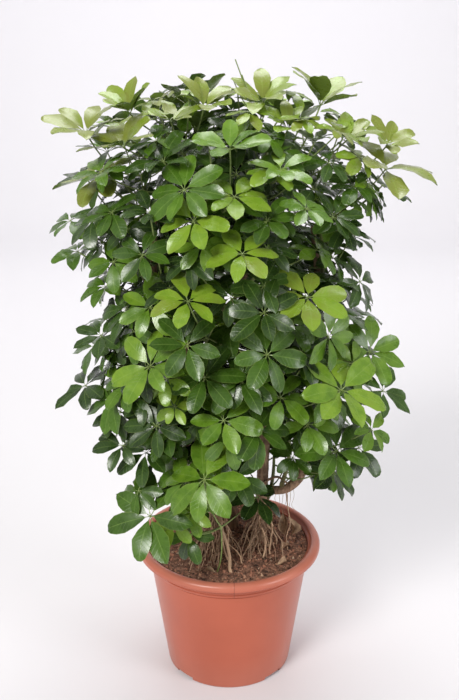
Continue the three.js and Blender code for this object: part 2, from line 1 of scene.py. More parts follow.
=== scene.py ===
# A dwarf umbrella plant in a round nursery pot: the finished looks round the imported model.
# Metres, +Z up, the front of the plant towards -Y. Top to bottom: the studio, the pot, the soil,
# the woody stems with their roots, the leafy shoots, and what lies on the soil.
import math
import random

import bpy
from mathutils import Matrix, Vector, noise


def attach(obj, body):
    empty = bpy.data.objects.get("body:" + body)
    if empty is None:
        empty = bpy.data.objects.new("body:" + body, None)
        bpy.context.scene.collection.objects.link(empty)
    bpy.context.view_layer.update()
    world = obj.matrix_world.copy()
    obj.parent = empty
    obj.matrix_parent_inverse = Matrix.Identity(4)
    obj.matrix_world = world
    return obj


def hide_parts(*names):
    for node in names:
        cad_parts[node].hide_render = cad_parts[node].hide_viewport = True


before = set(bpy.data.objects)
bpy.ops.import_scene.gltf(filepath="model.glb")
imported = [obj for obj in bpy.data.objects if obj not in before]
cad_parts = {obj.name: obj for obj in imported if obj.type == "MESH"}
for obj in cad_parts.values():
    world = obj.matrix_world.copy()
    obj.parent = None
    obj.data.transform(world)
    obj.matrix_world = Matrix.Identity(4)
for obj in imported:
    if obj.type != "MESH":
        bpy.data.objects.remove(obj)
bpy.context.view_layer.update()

# ---------------------------------------------------------------- the studio
# A pale paper sweep on the floor, lit by large soft lights from the front left, the right and
# above, and seen a little from above at the photograph's distance.
EYE = (0.0013, -1.565, 1.168)
EYE_DOWN = math.radians(19.3)
LENS = 48.86
SENSOR = 36
NEAREST = 0.05
AIR_COLOUR = (1.0, 0.985, 0.96, 1)
AIR_LIGHT = 0.40
SWEEP_WIDTH = 26.0
SWEEP_FRONT = -12.0
SWEEP_BACK = 3.5
SWEEP_BEND = 1.3
SWEEP_BEND_STEPS = 12
SWEEP_TOP = 5.0
PAPER_COLOUR = (0.735, 0.722, 0.752, 1)
PAPER_ROUGHNESS = 0.9
# Each softbox: its place, what it is aimed at, its size, its power in watts and its colour.
SOFTBOXES = {
    "key_light": ((-2.2, -3.5, 3.5), (0, 0, 0.6), (1.7, 1.7), 185, (1.0, 0.985, 0.95)),
    "right_light": ((3.4, -2.2, 2.2), (0, 0, 0.5), (1.7, 2.4), 72, (0.97, 0.98, 1.0)),
    "top_light": ((0.0, 0.9, 3.4), (0, 0, 0.7), (2.2, 1.2), 62, (1.0, 1.0, 0.98)),
    "backdrop_light": ((0.0, 2.2, 2.7), (0, 4.8, 1.3), (5.0, 0.8), 62, (0.98, 0.98, 1.0)),
}

scene = bpy.context.scene
scene.view_settings.view_transform = "Standard"
scene.view_settings.look = "None"

eye = bpy.data.objects.new("eye", bpy.data.cameras.new("eye"))
eye.location = EYE
eye.rotation_euler = (math.radians(90) - EYE_DOWN, 0, 0)
eye.data.sensor_width = SENSOR
eye.data.lens = LENS
eye.data.clip_start = NEAREST
scene.collection.objects.link(eye)
scene.camera = eye

world = bpy.data.worlds.new("studio_air")
world.use_nodes = True
world.node_tree.nodes["Background"].inputs["Color"].default_value = AIR_COLOUR
world.node_tree.nodes["Background"].inputs["Strength"].default_value = AIR_LIGHT
scene.world = world

for name, (place, aim, size, watts, colour) in SOFTBOXES.items():
    lamp = bpy.data.lights.new(name, "AREA")
    lamp.shape = "RECTANGLE"
    lamp.size, lamp.size_y = size
    lamp.energy = watts
    lamp.color = colour
    box = bpy.data.objects.new(name, lamp)
    box.location = place
    box.rotation_euler = (Vector(aim) - Vector(place)).to_track_quat("-Z", "Y").to_euler()
    scene.collection.objects.link(box)

sweep_line = [(SWEEP_FRONT, 0.0)]
for i in range(SWEEP_BEND_STEPS + 1):
    turn = math.radians(90 * i / SWEEP_BEND_STEPS)
    sweep_line.append((SWEEP_BACK + SWEEP_BEND * math.sin(turn), SWEEP_BEND * (1 - math.cos(turn))))
sweep_line.append((SWEEP_BACK + SWEEP_BEND, SWEEP_TOP))
sweep_points = [(x, y, z) for y, z in sweep_line for x in (-SWEEP_WIDTH / 2, SWEEP_WIDTH / 2)]
sweep_faces = [(2 * i, 2 * i + 1, 2 * i + 3, 2 * i + 2) for i in range(len(sweep_line) - 1)]
sweep_mesh = bpy.data.meshes.new("sweep")
sweep_mesh.from_pydata(sweep_points, [], sweep_faces)
sweep_mesh.shade_smooth()
sweep = bpy.data.objects.new("sweep", sweep_mesh)
scene.collection.objects.link(sweep)

paper = bpy.data.materials.new("pale_paper")
paper.use_nodes = True
paper_skin = paper.node_tree.nodes["Principled BSDF"]
paper_skin.inputs["Base Color"].default_value = PAPER_COLOUR
paper_skin.inputs["Roughness"].default_value = PAPER_ROUGHNESS
sweep_mesh.materials.append(paper)

# ---------------------------------------------------------------- the pot
# An injection-moulded nursery pot of terracotta-coloured plastic: a tapering wall, a low collar
# and a wide rounded rim, on a foot ring with four notches and a raised, drilled channel.
RIM_RADIUS = 0.170
RIM_DEPTH = 0.014
RIM_SHOULDER = (0.010, 0.009)
RIM_INNER = (0.0065, 0.0045)
RIM_LIP = 0.0015
POT_HEIGHT = 0.2517
BASE_RADIUS = 0.1168
BODY_TOP_RADIUS = 0.1465
COLLAR_RADIUS = 0.150
COLLAR_BOTTOM = 0.2135
COLLAR_GROOVE = 0.2205
WALL = 0.003
FOOT_INNER = 0.101
PAD_RADIUS = 0.060
CHANNEL_HEIGHT = 0.006
POT_COLUMNS = 144
NOTCHES = 4
NOTCH_WIDTH = 0.040
NOTCH_SPAN = (0.089, 0.13)
NOTCH_CUT = (-0.007, 0.007)
DRAINS = 6
DRAIN_RADIUS = 0.006
DRAIN_CIRCLE = 0.081
DRAIN_CUT = (-0.004, 0.02)
DRAIN_SIDES = 20
POT_SMOOTH_BELOW = 42
# The mould's parting line runs down the rim and collar at the front: a bump raises it, and painted shade
# darkens it.
SEAM_X = 0.0095
SEAM_HALF = 0.0011
PLASTIC_COLOURS = [(0.3, (0.44, 0.100, 0.052)), (0.7, (0.50, 0.118, 0.063))]
PLASTIC_ROUGHNESS = [(0.2, 0.27), (0.8, 0.36)]
DUST_COLOUR = (0.56, 0.36, 0.29)
DUST_TOP = 0.07
DUST_SHARE = 0.22
# Painted highlight: the rim is painted paler in patches, from just above the collar up to its crest.
RIM_HIGHLIGHT_COLOUR = (0.72, 0.40, 0.31)
RIM_HIGHLIGHT_FROM = COLLAR_BOTTOM + 0.022
RIM_HIGHLIGHT_SHARE = 0.42
# Painted shade along the parting line's ridge.
SEAM_SHADE_COLOUR = (0.22, 0.05, 0.03)
SEAM_SHADE_SHARE = 0.75


class Nodes:
    """Adds nodes to one tree. Values go by the names or places of the node's inputs."""

    def __init__(self, tree):
        self.tree = tree

    def put(self, value, socket):
        """Sets an input, or links another node's output to it."""
        if isinstance(value, bpy.types.NodeSocket):
            self.tree.links.new(value, socket)
        else:
            socket.default_value = value

    def add(self, kind, values=None, **facts):
        node = self.tree.nodes.new(kind)
        for name, value in facts.items():
            setattr(node, name, value)
        for name, value in (values or {}).items():
            self.put(value, node.inputs[name])
        return node

    def math(self, operation, first, second=0.0):
        return self.add("ShaderNodeMath", {0: first, 1: second}, operation=operation).outputs[0]


class Finish(Nodes):
    """One piece's material, which reads the piece's own Object coordinates."""

    def __init__(self, name):
        self.material = bpy.data.materials.new(name)
        self.material.use_nodes = True
        super().__init__(self.material.node_tree)
        self.skin = self.tree.nodes["Principled BSDF"].inputs
        self.place = self.add("ShaderNodeTexCoord").outputs["Object"]

    def cloud(self, scale, detail, stretch=(1.0, 1.0, 1.0)):
        """A cloudy pattern from 0 to 1 through the piece."""
        place = self.place
        if stretch != (1.0, 1.0, 1.0):
            place = self.add("ShaderNodeMapping", {"Vector": place, "Scale": stretch}).outputs[0]
        pattern = self.add("ShaderNodeTexNoise", {"Vector": place, "Scale": scale, "Detail": detail})
        return pattern.outputs["Fac"]

    def stored(self, label):
        return self.add("ShaderNodeAttribute", attribute_name=label).outputs["Fac"]

    def rescale(self, value, low, high, at_low, at_high):
        return self.add("ShaderNodeMapRange", {
            "Value": value, "From Min": low, "From Max": high,
            "To Min": at_low, "To Max": at_high}).outputs[0]

    def ramp(self, value, stops):
        """Colours, or greys for single numbers, along a value from 0 to 1."""
        node = self.add("ShaderNodeValToRGB", {"Fac": value})
        colours = node.color_ramp.elements
        while len(colours) < len(stops):
            colours.new(0.5)
        for element, (place, colour) in zip(colours, stops):
            element.position = place
            element.color = (*(colour if isinstance(colour, tuple) else (colour,) * 3), 1)
        return node.outputs["Color"]

    def mix(self, share, first, second):
        node = self.add("ShaderNodeMix", data_type="RGBA")
        for value, socket in zip((share, first, second), (node.inputs[0], node.inputs[6], node.inputs[7])):
            self.put((*value, 1) if isinstance(value, tuple) else value, socket)
        return node.outputs[2]

    def bump(self, height, strength, distance):
        node = self.add("ShaderNodeBump", {"Height": height, "Strength": strength, "Distance": distance})
        self.put(node.outputs["Normal"], self.skin["Normal"])


def add_mesh(name, points, faces, material, smooth_below=40):
    """A new object whose edges are sharp where the faces turn by more than some degrees."""
    mesh = bpy.data.meshes.new(name)
    mesh.from_pydata(points, [], faces)
    mesh.shade_smooth()
    mesh.set_sharp_from_angle(angle=math.radians(smooth_below))
    mesh.materials.append(material)
    thing = bpy.data.objects.new(name, mesh)
    scene.collection.objects.link(thing)
    return thing


def made_plain(thing):
    """Turns what the modifiers make into the object's own mesh, and takes the modifiers off."""
    graph = bpy.context.evaluated_depsgraph_get()
    mesh = bpy.data.meshes.new_from_object(
        thing.evaluated_get(graph), preserve_all_data_layers=True, depsgraph=graph)
    thing.modifiers.clear()
    thing.data = mesh
    return thing


def turned(profile, columns):
    """Points and faces of a closed lathe whose profile starts and ends on the axis."""
    inner = profile[1:-1]
    points = [(0, 0, profile[0][1])]
    for radius, height in inner:
        for k in range(columns):
            turn = 2 * math.pi * k / columns
            points.append((radius * math.cos(turn), radius * math.sin(turn), height))
    points.append((0, 0, profile[-1][1]))
    faces = [(0, 1 + (k + 1) % columns, 1 + k) for k in range(columns)]
    for i in range(len(inner) - 1):
        for k in range(columns):
            a = 1 + i * columns + k
            b = 1 + i * columns + (k + 1) % columns
            faces.append((a, b, b + columns, a + columns))
    last = 1 + (len(inner) - 1) * columns
    faces += [(last + k, last + (k + 1) % columns, len(points) - 1) for k in range(columns)]
    return points, faces


def arc(centre, radii, start, end, steps):
    """Points on an ellipse round the centre, between two angles in degrees."""
    turns = [math.radians(start + (end - start) * i / steps) for i in range(steps + 1)]
    return [(centre[0] + radii[0] * math.cos(t), centre[1] + radii[1] * math.sin(t)) for t in turns]


plastic = Finish("terracotta_plastic")
clouding = plastic.cloud(9.0, 3.0)
speckle = plastic.cloud(420.0, 2.0)
axes = plastic.add("ShaderNodeSeparateXYZ", {"Vector": plastic.place}).outputs
dust = plastic.rescale(axes["Z"], 0.0, DUST_TOP, DUST_SHARE, 0.0)
# The painted highlight's share grows from just above the collar up to the rim's crest.
rim_highlight = plastic.rescale(axes["Z"], RIM_HIGHLIGHT_FROM, POT_HEIGHT, 0.0, RIM_HIGHLIGHT_SHARE)
off_seam = plastic.math("ABSOLUTE", plastic.math("SUBTRACT", axes["X"], SEAM_X))
on_seam = plastic.rescale(off_seam, 0.0, SEAM_HALF, 1.0, 0.0)
at_front = plastic.math("LESS_THAN", axes["Y"], 0.0)
up_high = plastic.math("GREATER_THAN", axes["Z"], COLLAR_BOTTOM)
seam = plastic.math("MULTIPLY", plastic.math("MULTIPLY", on_seam, at_front), up_high)
tint = plastic.ramp(clouding, PLASTIC_COLOURS)
tint = plastic.mix(plastic.math("MULTIPLY", dust, clouding), tint, DUST_COLOUR)
# Painted highlight on the rim, in patches.
tint = plastic.mix(plastic.math("MULTIPLY", rim_highlight, clouding), tint, RIM_HIGHLIGHT_COLOUR)
# Painted shade darkens the parting line.
tint = plastic.mix(plastic.math("MULTIPLY", seam, SEAM_SHADE_SHARE), tint, SEAM_SHADE_COLOUR)
plastic.put(tint, plastic.skin["Base Color"])
plastic.put(plastic.ramp(clouding, PLASTIC_ROUGHNESS), plastic.skin["Roughness"])
plastic.bump(plastic.math("ADD", plastic.math("MULTIPLY", speckle, 0.06), seam), 0.35, 0.0006)

rim_foot = POT_HEIGHT - RIM_DEPTH
rim_crest = RIM_RADIUS - RIM_SHOULDER[0]
wall_slope = (BODY_TOP_RADIUS - BASE_RADIUS) / COLLAR_BOTTOM
floor_height = CHANNEL_HEIGHT + WALL
# From the middle of the underside, round the foot ring, up the outer wall, over the rim and down
# the inner wall. The offsets are the moulding's small steps and rounded edges.
pot_profile = [
    (0, 0), (PAD_RADIUS - 0.001, 0), (PAD_RADIUS, 0.0006), (PAD_RADIUS + 0.004, CHANNEL_HEIGHT),
    (FOOT_INNER - 0.003, CHANNEL_HEIGHT), (FOOT_INNER, 0.0006), (FOOT_INNER + 0.001, 0),
    (BASE_RADIUS - 0.003, 0), (BASE_RADIUS - 0.0012, 0.0006), (BASE_RADIUS - 0.0002, 0.002),
    (BASE_RADIUS + 0.0003, 0.004),
    (BODY_TOP_RADIUS - 0.004, COLLAR_BOTTOM - 0.030), (BODY_TOP_RADIUS - 0.0002, COLLAR_BOTTOM - 0.0018),
    (BODY_TOP_RADIUS - 0.0018, COLLAR_BOTTOM - 0.0010), (BODY_TOP_RADIUS - 0.0016, COLLAR_BOTTOM + 0.0006),
    (COLLAR_RADIUS - 0.0008, COLLAR_BOTTOM + 0.0012), (COLLAR_RADIUS, COLLAR_BOTTOM + 0.0022),
    (COLLAR_RADIUS + 0.0001, COLLAR_GROOVE - 0.0012), (COLLAR_RADIUS - 0.0009, COLLAR_GROOVE - 0.0005),
    (COLLAR_RADIUS - 0.0009, COLLAR_GROOVE + 0.0005), (COLLAR_RADIUS + 0.0001, COLLAR_GROOVE + 0.0012),
    (COLLAR_RADIUS + 0.0003, rim_foot - 0.004), (COLLAR_RADIUS + 0.0008, rim_foot),
    (COLLAR_RADIUS + 0.004, rim_foot + 0.007), (RIM_RADIUS - 0.005, rim_foot + 0.008),
    (RIM_RADIUS - 2 * RIM_LIP, rim_foot + 2 * RIM_LIP),
    *arc((RIM_RADIUS - RIM_LIP, rim_foot + RIM_LIP), (RIM_LIP, RIM_LIP), 180, 360, 6),
    *arc((rim_crest, POT_HEIGHT - RIM_SHOULDER[1]), RIM_SHOULDER, 0, 90, 10),
    *arc((rim_crest, POT_HEIGHT - RIM_INNER[1]), RIM_INNER, 96, 180, 7),
    (COLLAR_RADIUS - WALL + 0.001, POT_HEIGHT - 0.010),
    (COLLAR_RADIUS - WALL, COLLAR_BOTTOM + 0.003),
    (BODY_TOP_RADIUS - WALL, COLLAR_BOTTOM + 0.001),
    (BASE_RADIUS + wall_slope * floor_height - WALL, floor_height),
    (0, floor_height),
]
pot = add_mesh("pot_shell", *turned(pot_profile, POT_COLUMNS), plastic.material, POT_SMOOTH_BELOW)

cutter_points = []
cutter_faces = []


def add_cutter(corners, low, high):
    """Adds an upright prism to what is cut out of the pot."""
    start = len(cutter_points)
    count = len(corners)
    cutter_points.extend((x, y, z) for z in (low, high) for x, y in corners)
    cutter_faces.append([start + k for k in reversed(range(count))])
    cutter_faces.append([start + count + k for k in range(count)])
    for k in range(count):
        after = (k + 1) % count
        cutter_faces.append([start + k, start + after, start + count + after, start + count + k])


for i in range(NOTCHES):
    spin = Matrix.Rotation(2 * math.pi * (i + 0.5) / NOTCHES, 2)
    (near, far), half = NOTCH_SPAN, NOTCH_WIDTH / 2
    corners = [(-half, near), (half, near), (half, far), (-half, far)]
    add_cutter([spin @ Vector(corner) for corner in corners], *NOTCH_CUT)
for i in range(DRAINS):
    turn = 2 * math.pi * i / DRAINS
    centre = Vector((math.cos(turn), math.sin(turn))) * DRAIN_CIRCLE
    ring = [centre + Vector((math.cos(a), math.sin(a))) * DRAIN_RADIUS
            for a in (2 * math.pi * k / DRAIN_SIDES for k in range(DRAIN_SIDES))]
    add_cutter(ring, *DRAIN_CUT)
cutter = add_mesh("pot_cutter", cutter_points, cutter_faces, plastic.material)
cut = pot.modifiers.new("notches_and_drains", "BOOLEAN")
cut.operation = "DIFFERENCE"
cut.object = cutter
cut.solver = "EXACT"
made_plain(pot)
pot.data.set_sharp_from_angle(angle=math.radians(POT_SMOOTH_BELOW))
bpy.data.objects.remove(cutter)
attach(pot, "root")
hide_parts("pot")

# ---------------------------------------------------------------- the soil
# Moist peat in a low mound a little below the rim, with a rough, rippled surface. Its crumbs,
# bark chips and pale flecks are a piece of their own, further down.
SOIL_EDGE_RADIUS = 0.1472
SOIL_EDGE_HEIGHT = 0.239
SOIL_MOUND = 0.005
SOIL_RINGS = 44
SOIL_COLUMNS = 132
SOIL_GAP = 0.0005
SOIL_FOOT_INSET = 0.0025
SOIL_SMOOTH_BELOW = 180
PEAT_COLOURS = [(0.36, (0.055, 0.028, 0.018)), (0.52, (0.230, 0.110, 0.070)), (0.68, (0.42, 0.220, 0.140))]
PEAT_PATCHES = (0.240, 0.115, 0.075)


def soil_height(x, y):
    """The mound with slow swells, ripples and a fine grain, which all fade towards the wall."""
    away = min(1.0, math.hypot(x, y) / SOIL_EDGE_RADIUS)
    swell = SOIL_MOUND * (1 - away ** 1.6)
    place = Vector((x, y, 0.0))
    ripple = 0.0026 * noise.noise(place * 26) + 0.0018 * noise.noise(place * 75 + Vector((4, 1, 0)))
    grain = 0.0011 * noise.noise(place * 210)
    return SOIL_EDGE_HEIGHT + swell + (ripple + grain) * min(1.0, 6 * (1 - away) + 0.25)


def soil_disc(radius, rings, columns):
    """Points and faces of a round sheet on the soil's surface."""
    points = [(0, 0, soil_height(0, 0))]
    for i in range(1, rings + 1):
        reach = radius * i / rings
        for k in range(columns):
            turn = 2 * math.pi * k / columns
            x, y = reach * math.cos(turn), reach * math.sin(turn)
            points.append((x, y, soil_height(x, y)))
    faces = [(0, 1 + k, 1 + (k + 1) % columns) for k in range(columns)]
    for i in range(rings - 1):
        for k in range(columns):
            a = 1 + i * columns + k
            b = 1 + i * columns + (k + 1) % columns
            faces.append((a, a + columns, b + columns, b))
    return points, faces


peat = Finish("peat")
grain = peat.cloud(190.0, 5.0)
patch = peat.cloud(34.0, 3.0)
tint = peat.mix(peat.math("MULTIPLY", patch, 0.55), peat.ramp(grain, PEAT_COLOURS), PEAT_PATCHES)
peat.put(tint, peat.skin["Base Color"])
peat.put(0.92, peat.skin["Roughness"])
peat.bump(grain, 0.9, 0.0022)

soil_points, soil_faces = soil_disc(SOIL_EDGE_RADIUS, SOIL_RINGS, SOIL_COLUMNS)
# Below the surface the peat fills the pot down to its floor.
below = [
    (BODY_TOP_RADIUS - WALL - SOIL_GAP, COLLAR_BOTTOM),
    (BASE_RADIUS - SOIL_FOOT_INSET, floor_height + SOIL_GAP)]
for radius, height in below:
    base = len(soil_points) - SOIL_COLUMNS
    for k in range(SOIL_COLUMNS):
        turn = 2 * math.pi * k / SOIL_COLUMNS
        soil_points.append((radius * math.cos(turn), radius * math.sin(turn), height))
        after = (k + 1) % SOIL_COLUMNS
        soil_faces.append((base + k, base + SOIL_COLUMNS + k, base + SOIL_COLUMNS + after, base + after))
soil_faces.append([len(soil_points) - 1 - k for k in range(SOIL_COLUMNS)])
soil = add_mesh("soil_body", soil_points, soil_faces, peat.material, SOIL_SMOOTH_BELOW)
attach(soil, "root")
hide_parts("soil")

# ---------------------------------------------------------------- the woody stems and their roots
# Four tan-barked stems with lenticels rise from the soil. The main one has an old knot and a
# stub, and a branch that bends right. Aerial roots slant from them into the soil.
MM = 0.001
# Each stem's and branch's route with its radius at each place, in mm.
WOODY_STEMS = {
    "stem_main": [
        ([(58, 12, 170), (59, 10, 240), (61, 6, 335), (63, 1, 425), (62, 2, 446), (56, 12, 520),
          (40, 8, 640), (26, -6, 760), (18, -10, 860), (8, -6, 930)],
         [14, 13.2, 10.8, 10.4, 13, 9, 7.4, 6, 5, 4]),
        ([(61, 2, 352), (84, -6, 350), (108, -12, 358), (132, -14, 386), (146, -8, 440),
          (158, -2, 540), (160, 2, 650), (150, 0, 760), (140, -6, 840)],
         [8, 8, 8.2, 7.6, 7, 6.4, 5.6, 5, 4.2]),
        ([(62, 0, 362), (70, -14, 374), (88, -24, 386), (106, -26, 374)], [2.6, 2.4, 2.2, 1.6]),
        ([(60, 4, 424), (48, -6, 436), (38, -12, 440)], [6, 5.5, 5]),
    ],
    "stem_left": [
        ([(-24, 4, 170), (-28, 6, 240), (-34, 6, 320), (-52, 4, 420), (-84, -4, 520),
          (-112, -8, 640), (-126, -8, 760), (-122, -4, 870)],
         [18, 16.5, 13, 10, 8, 6.6, 5.4, 4.2]),
        ([(-49, 4, 405), (-70, -22, 440), (-84, -60, 500), (-80, -86, 590), (-62, -98, 700)],
         [6.5, 6, 5.4, 4.8, 4]),
    ],
    "stem_middle": [
        ([(14, 42, 170), (10, 46, 240), (0, 52, 340), (-14, 72, 460), (-30, 96, 580),
          (-44, 110, 700), (-50, 112, 820)],
         [11, 10.5, 8.8, 7.2, 6, 5, 4.2]),
    ],
    "stem_right": [
        ([(50, 52, 170), (56, 58, 240), (66, 70, 350), (82, 88, 470), (96, 104, 590),
          (98, 110, 700), (92, 106, 820)],
         [8.5, 8, 7.2, 6.4, 5.6, 4.8, 4]),
    ],
}
# Each aerial root's stem, start, bend and foot with its radius, in mm.
AERIAL_ROOTS = [
    ("stem_left", (-30, 4, 312), (-6, -60, 290), (12, -136, 214), 3.4),
    ("stem_left", (-32, 6, 330), (-8, -34, 280), (2, -96, 214), 2.2),
    ("stem_left", (-31, 6, 300), (-20, -34, 270), (-14, -82, 214), 1.8),
    ("stem_left", (-32, 6, 320), (-40, -24, 285), (-40, -62, 214), 2),
    ("stem_left", (-33, 6, 300), (-58, -10, 262), (-76, -34, 214), 1.8),
    ("stem_left", (-33, 6, 322), (-4, -22, 292), (14, -76, 214), 1.8),
    ("stem_main", (60, 8, 318), (44, -16, 276), (30, -54, 214), 2.2),
    ("stem_main", (60, 8, 300), (52, -20, 262), (46, -62, 214), 1.8),
    ("stem_main", (60, 7, 330), (58, -30, 284), (60, -76, 214), 2),
    ("stem_main", (61, 6, 340), (72, -22, 288), (80, -58, 214), 2),
    ("stem_main", (60, 8, 300), (84, -6, 262), (98, -26, 214), 1.8),
    ("stem_main", (104, -11, 357), (106, -22, 300), (112, -40, 214), 0.9),
]
# Finer roots fan out between those, most of them at the front: how many, where they leave the
# stem, how far forward they reach and to which sides.
FINE_ROOTS = {
    "stem_main": (34, (60, 8), (24, 88), (-66, 44)),
    "stem_left": (52, (-30, 4), (24, 122), (-52, 74)),
}
# In mm, where one starts across, ahead and up, how far its bend strays, its foot's height and its
# girth. Then how pale it is, from the stems' brown at 0 to the aerial roots at 1.
FINE_ROOT_START = ((-5, 5), (2, 8), (252, 346))
FINE_ROOT_BEND = ((-20, 20), (-18, 4), (-4, 24))
FINE_ROOT_FOOT = 230
FINE_ROOT_GIRTH = (0.5, 1.5)
FINE_ROOT_PALENESS = (-0.6, 1.2)
ROOT_POINTS = 15
ROOT_WANDER = 0.012
ROOT_TAPER = 0.25
ROOT_UNEVENNESS = (0.9, 1.12)
# Hair roots hang from the branch that bends right, and end in the air: where, and how long, in mm.
HAIRS = [
    ((92, -12, 352), 62), ((99, -14, 353), 84), ((104, -15, 352), 50), ((112, -16, 354), 70),
    ((118, -17, 357), 44), ((86, -10, 350), 40), ((108, -15, 353), 92)]
HAIR_GIRTH = 0.00042
HAIR_POINTS = 9
HAIR_SIDES = 5
HAIR_SWAY = 0.6
HAIR_TAPER = 0.05
STEM_STEP = 0.005
# The ripple grows with a stem's girth, and is whole at this one.
BARK_RIPPLE = 0.0011
BARK_RIPPLE_SCALE = 95.0
BARK_RIPPLE_GIRTH = 0.005
TUBE_SIDES = 14
BARK_COLOURS = [(0.3, (0.150, 0.088, 0.055)), (0.55, (0.40, 0.245, 0.155)), (0.75, (0.60, 0.40, 0.26))]
LENTICEL_COLOUR = (0.52, 0.35, 0.23)
BLOTCH_COLOUR = (0.060, 0.034, 0.020)
ROOT_COLOUR = (0.76, 0.50, 0.32)

bark = Finish("bark")
rootness = bark.stored("rootness")
fibre = bark.cloud(260.0, 4.0, (1.0, 1.0, 0.22))
lenticel = bark.cloud(150.0, 2.0, (0.35, 0.35, 1.9))
blotch = bark.cloud(24.0, 3.0)
tint = bark.ramp(fibre, BARK_COLOURS)
tint = bark.mix(bark.ramp(lenticel, [(0.60, 0.0), (0.66, 0.75)]), tint, LENTICEL_COLOUR)
tint = bark.mix(bark.ramp(blotch, [(0.40, 0.4), (0.60, 0.0)]), tint, BLOTCH_COLOUR)
tint = bark.mix(bark.math("MULTIPLY", rootness, 0.70), tint, ROOT_COLOUR)
bark.put(tint, bark.skin["Base Color"])
bark.put(0.82, bark.skin["Roughness"])
bark.bump(bark.math("ADD", fibre, lenticel), 0.5, 0.0012)


class Growth(Nodes):
    """A geometry tree with named inputs, which grows an object's mesh into a finished one."""

    def __init__(self, name, inputs):
        super().__init__(bpy.data.node_groups.new(name, "GeometryNodeTree"))
        panel = self.tree.interface
        panel.new_socket("Geometry", in_out="INPUT", socket_type="NodeSocketGeometry")
        panel.new_socket("Geometry", in_out="OUTPUT", socket_type="NodeSocketGeometry")
        self.sockets = {}
        for label, kind in inputs.items():
            socket = panel.new_socket(label, in_out="INPUT", socket_type="NodeSocket" + kind)
            self.sockets[label] = socket.identifier
        self.given = self.tree.nodes.new("NodeGroupInput").outputs
        self.result = self.tree.nodes.new("NodeGroupOutput").inputs["Geometry"]

    def stored(self, label, kind="FLOAT"):
        node = self.add("GeometryNodeInputNamedAttribute", {"Name": label}, data_type=kind)
        return node.outputs["Attribute"]

    def change(self, kind, geometry, values=None, **facts):
        """A node that takes geometry and gives it on."""
        return self.add(kind, {"Geometry": geometry, **(values or {})}, **facts).outputs[0]

    def tubes(self, lines, sides):
        """Round tubes along the lines, as thick as their stored girth says."""
        curve = self.add("GeometryNodeMeshToCurve", {"Mesh": lines}).outputs["Curve"]
        ring = self.add("GeometryNodeCurvePrimitiveCircle", {"Resolution": sides, "Radius": 1.0})
        return self.add("GeometryNodeCurveToMesh", {
            "Curve": curve, "Profile Curve": ring.outputs["Curve"], "Fill Caps": True,
            "Scale": self.stored("girth")}).outputs["Mesh"]

    def grow(self, thing, values):
        """Grows the object with these inputs, and leaves it as a plain mesh."""
        modifier = thing.modifiers.new(self.tree.name, "NODES")
        modifier.node_group = self.tree
        for label, value in values.items():
            modifier[self.sockets[label]] = value
        return made_plain(thing)


def smooth_route(places, girths, step):
    """The places on a smooth curve through the given ones, with the girth at each."""
    points = [Vector(p) for p in places]
    found = []
    for i in range(len(points) - 1):
        before = points[max(i - 1, 0)]
        after = points[min(i + 2, len(points) - 1)]
        a, b = points[i], points[i + 1]
        count = max(1, round((b - a).length / step))
        for k in range(count):
            t = k / count
            place = 0.5 * ((2 * a) + (b - before) * t + (2 * before - 5 * a + 4 * b - after) * t * t
                           + (3 * a - before - 3 * b + after) * t ** 3)
            found.append((place, girths[i] + (girths[i + 1] - girths[i]) * t))
    found.append((points[-1], girths[-1]))
    return found


def line_mesh(name, lines, extra):
    """A mesh of open lines. Each line is a list of (place, girth), and extra holds one value a line."""
    points, edges, girths, marks = [], [], [], []
    for line, mark in zip(lines, extra):
        start = len(points)
        points.extend(place for place, _ in line)
        girths.extend(girth for _, girth in line)
        marks.extend([mark] * len(line))
        edges.extend((start + i, start + i + 1) for i in range(len(line) - 1))
    mesh = bpy.data.meshes.new(name)
    mesh.from_pydata(points, edges, [])
    mesh.attributes.new("girth", "FLOAT", "POINT").data.foreach_set("value", girths)
    mesh.attributes.new("rootness", "FLOAT", "POINT").data.foreach_set("value", marks)
    return mesh


bark_growth = Growth("bark_on_lines", {"Ripple": "Float", "Bark": "Material", "Sides": "Int"})
given = bark_growth.given
rind = bark_growth.tubes(given["Geometry"], given["Sides"])
swell = bark_growth.add("ShaderNodeTexNoise", {"Scale": BARK_RIPPLE_SCALE, "Detail": 2.0}).outputs["Fac"]
swell = bark_growth.math("MULTIPLY", bark_growth.math("SUBTRACT", swell, 0.5), given["Ripple"])
thick = bark_growth.math("DIVIDE", bark_growth.stored("girth"), BARK_RIPPLE_GIRTH)
outward = bark_growth.add("GeometryNodeInputNormal").outputs[0]
shift = bark_growth.add("ShaderNodeVectorMath", {
    0: outward, "Scale": bark_growth.math("MULTIPLY", swell, thick)}, operation="SCALE").outputs[0]
rind = bark_growth.change("GeometryNodeSetPosition", rind, {"Offset": shift})
rind = bark_growth.change("GeometryNodeSetShadeSmooth", rind)
rind = bark_growth.change("GeometryNodeSetMaterial", rind, {"Material": given["Bark"]})
bark_growth.put(bark_growth.change("GeometryNodeRealizeInstances", rind), bark_growth.result)


def bark_piece(name, lines, marks, sides=TUBE_SIDES, ripple=BARK_RIPPLE):
    """A barked piece along its lines, each marked 0 for a stem to 1 for a pale root."""
    thing = bpy.data.objects.new(name, line_mesh(name, lines, marks))
    scene.collection.objects.link(thing)
    return bark_growth.grow(thing, {"Ripple": ripple, "Sides": sides, "Bark": bark.material})


def root_stray(place):
    """A smooth stray in all three directions, which is the same in every run."""
    return Vector([noise.noise(place + Vector((0, 17 * axis, 0))) for axis in range(3)])


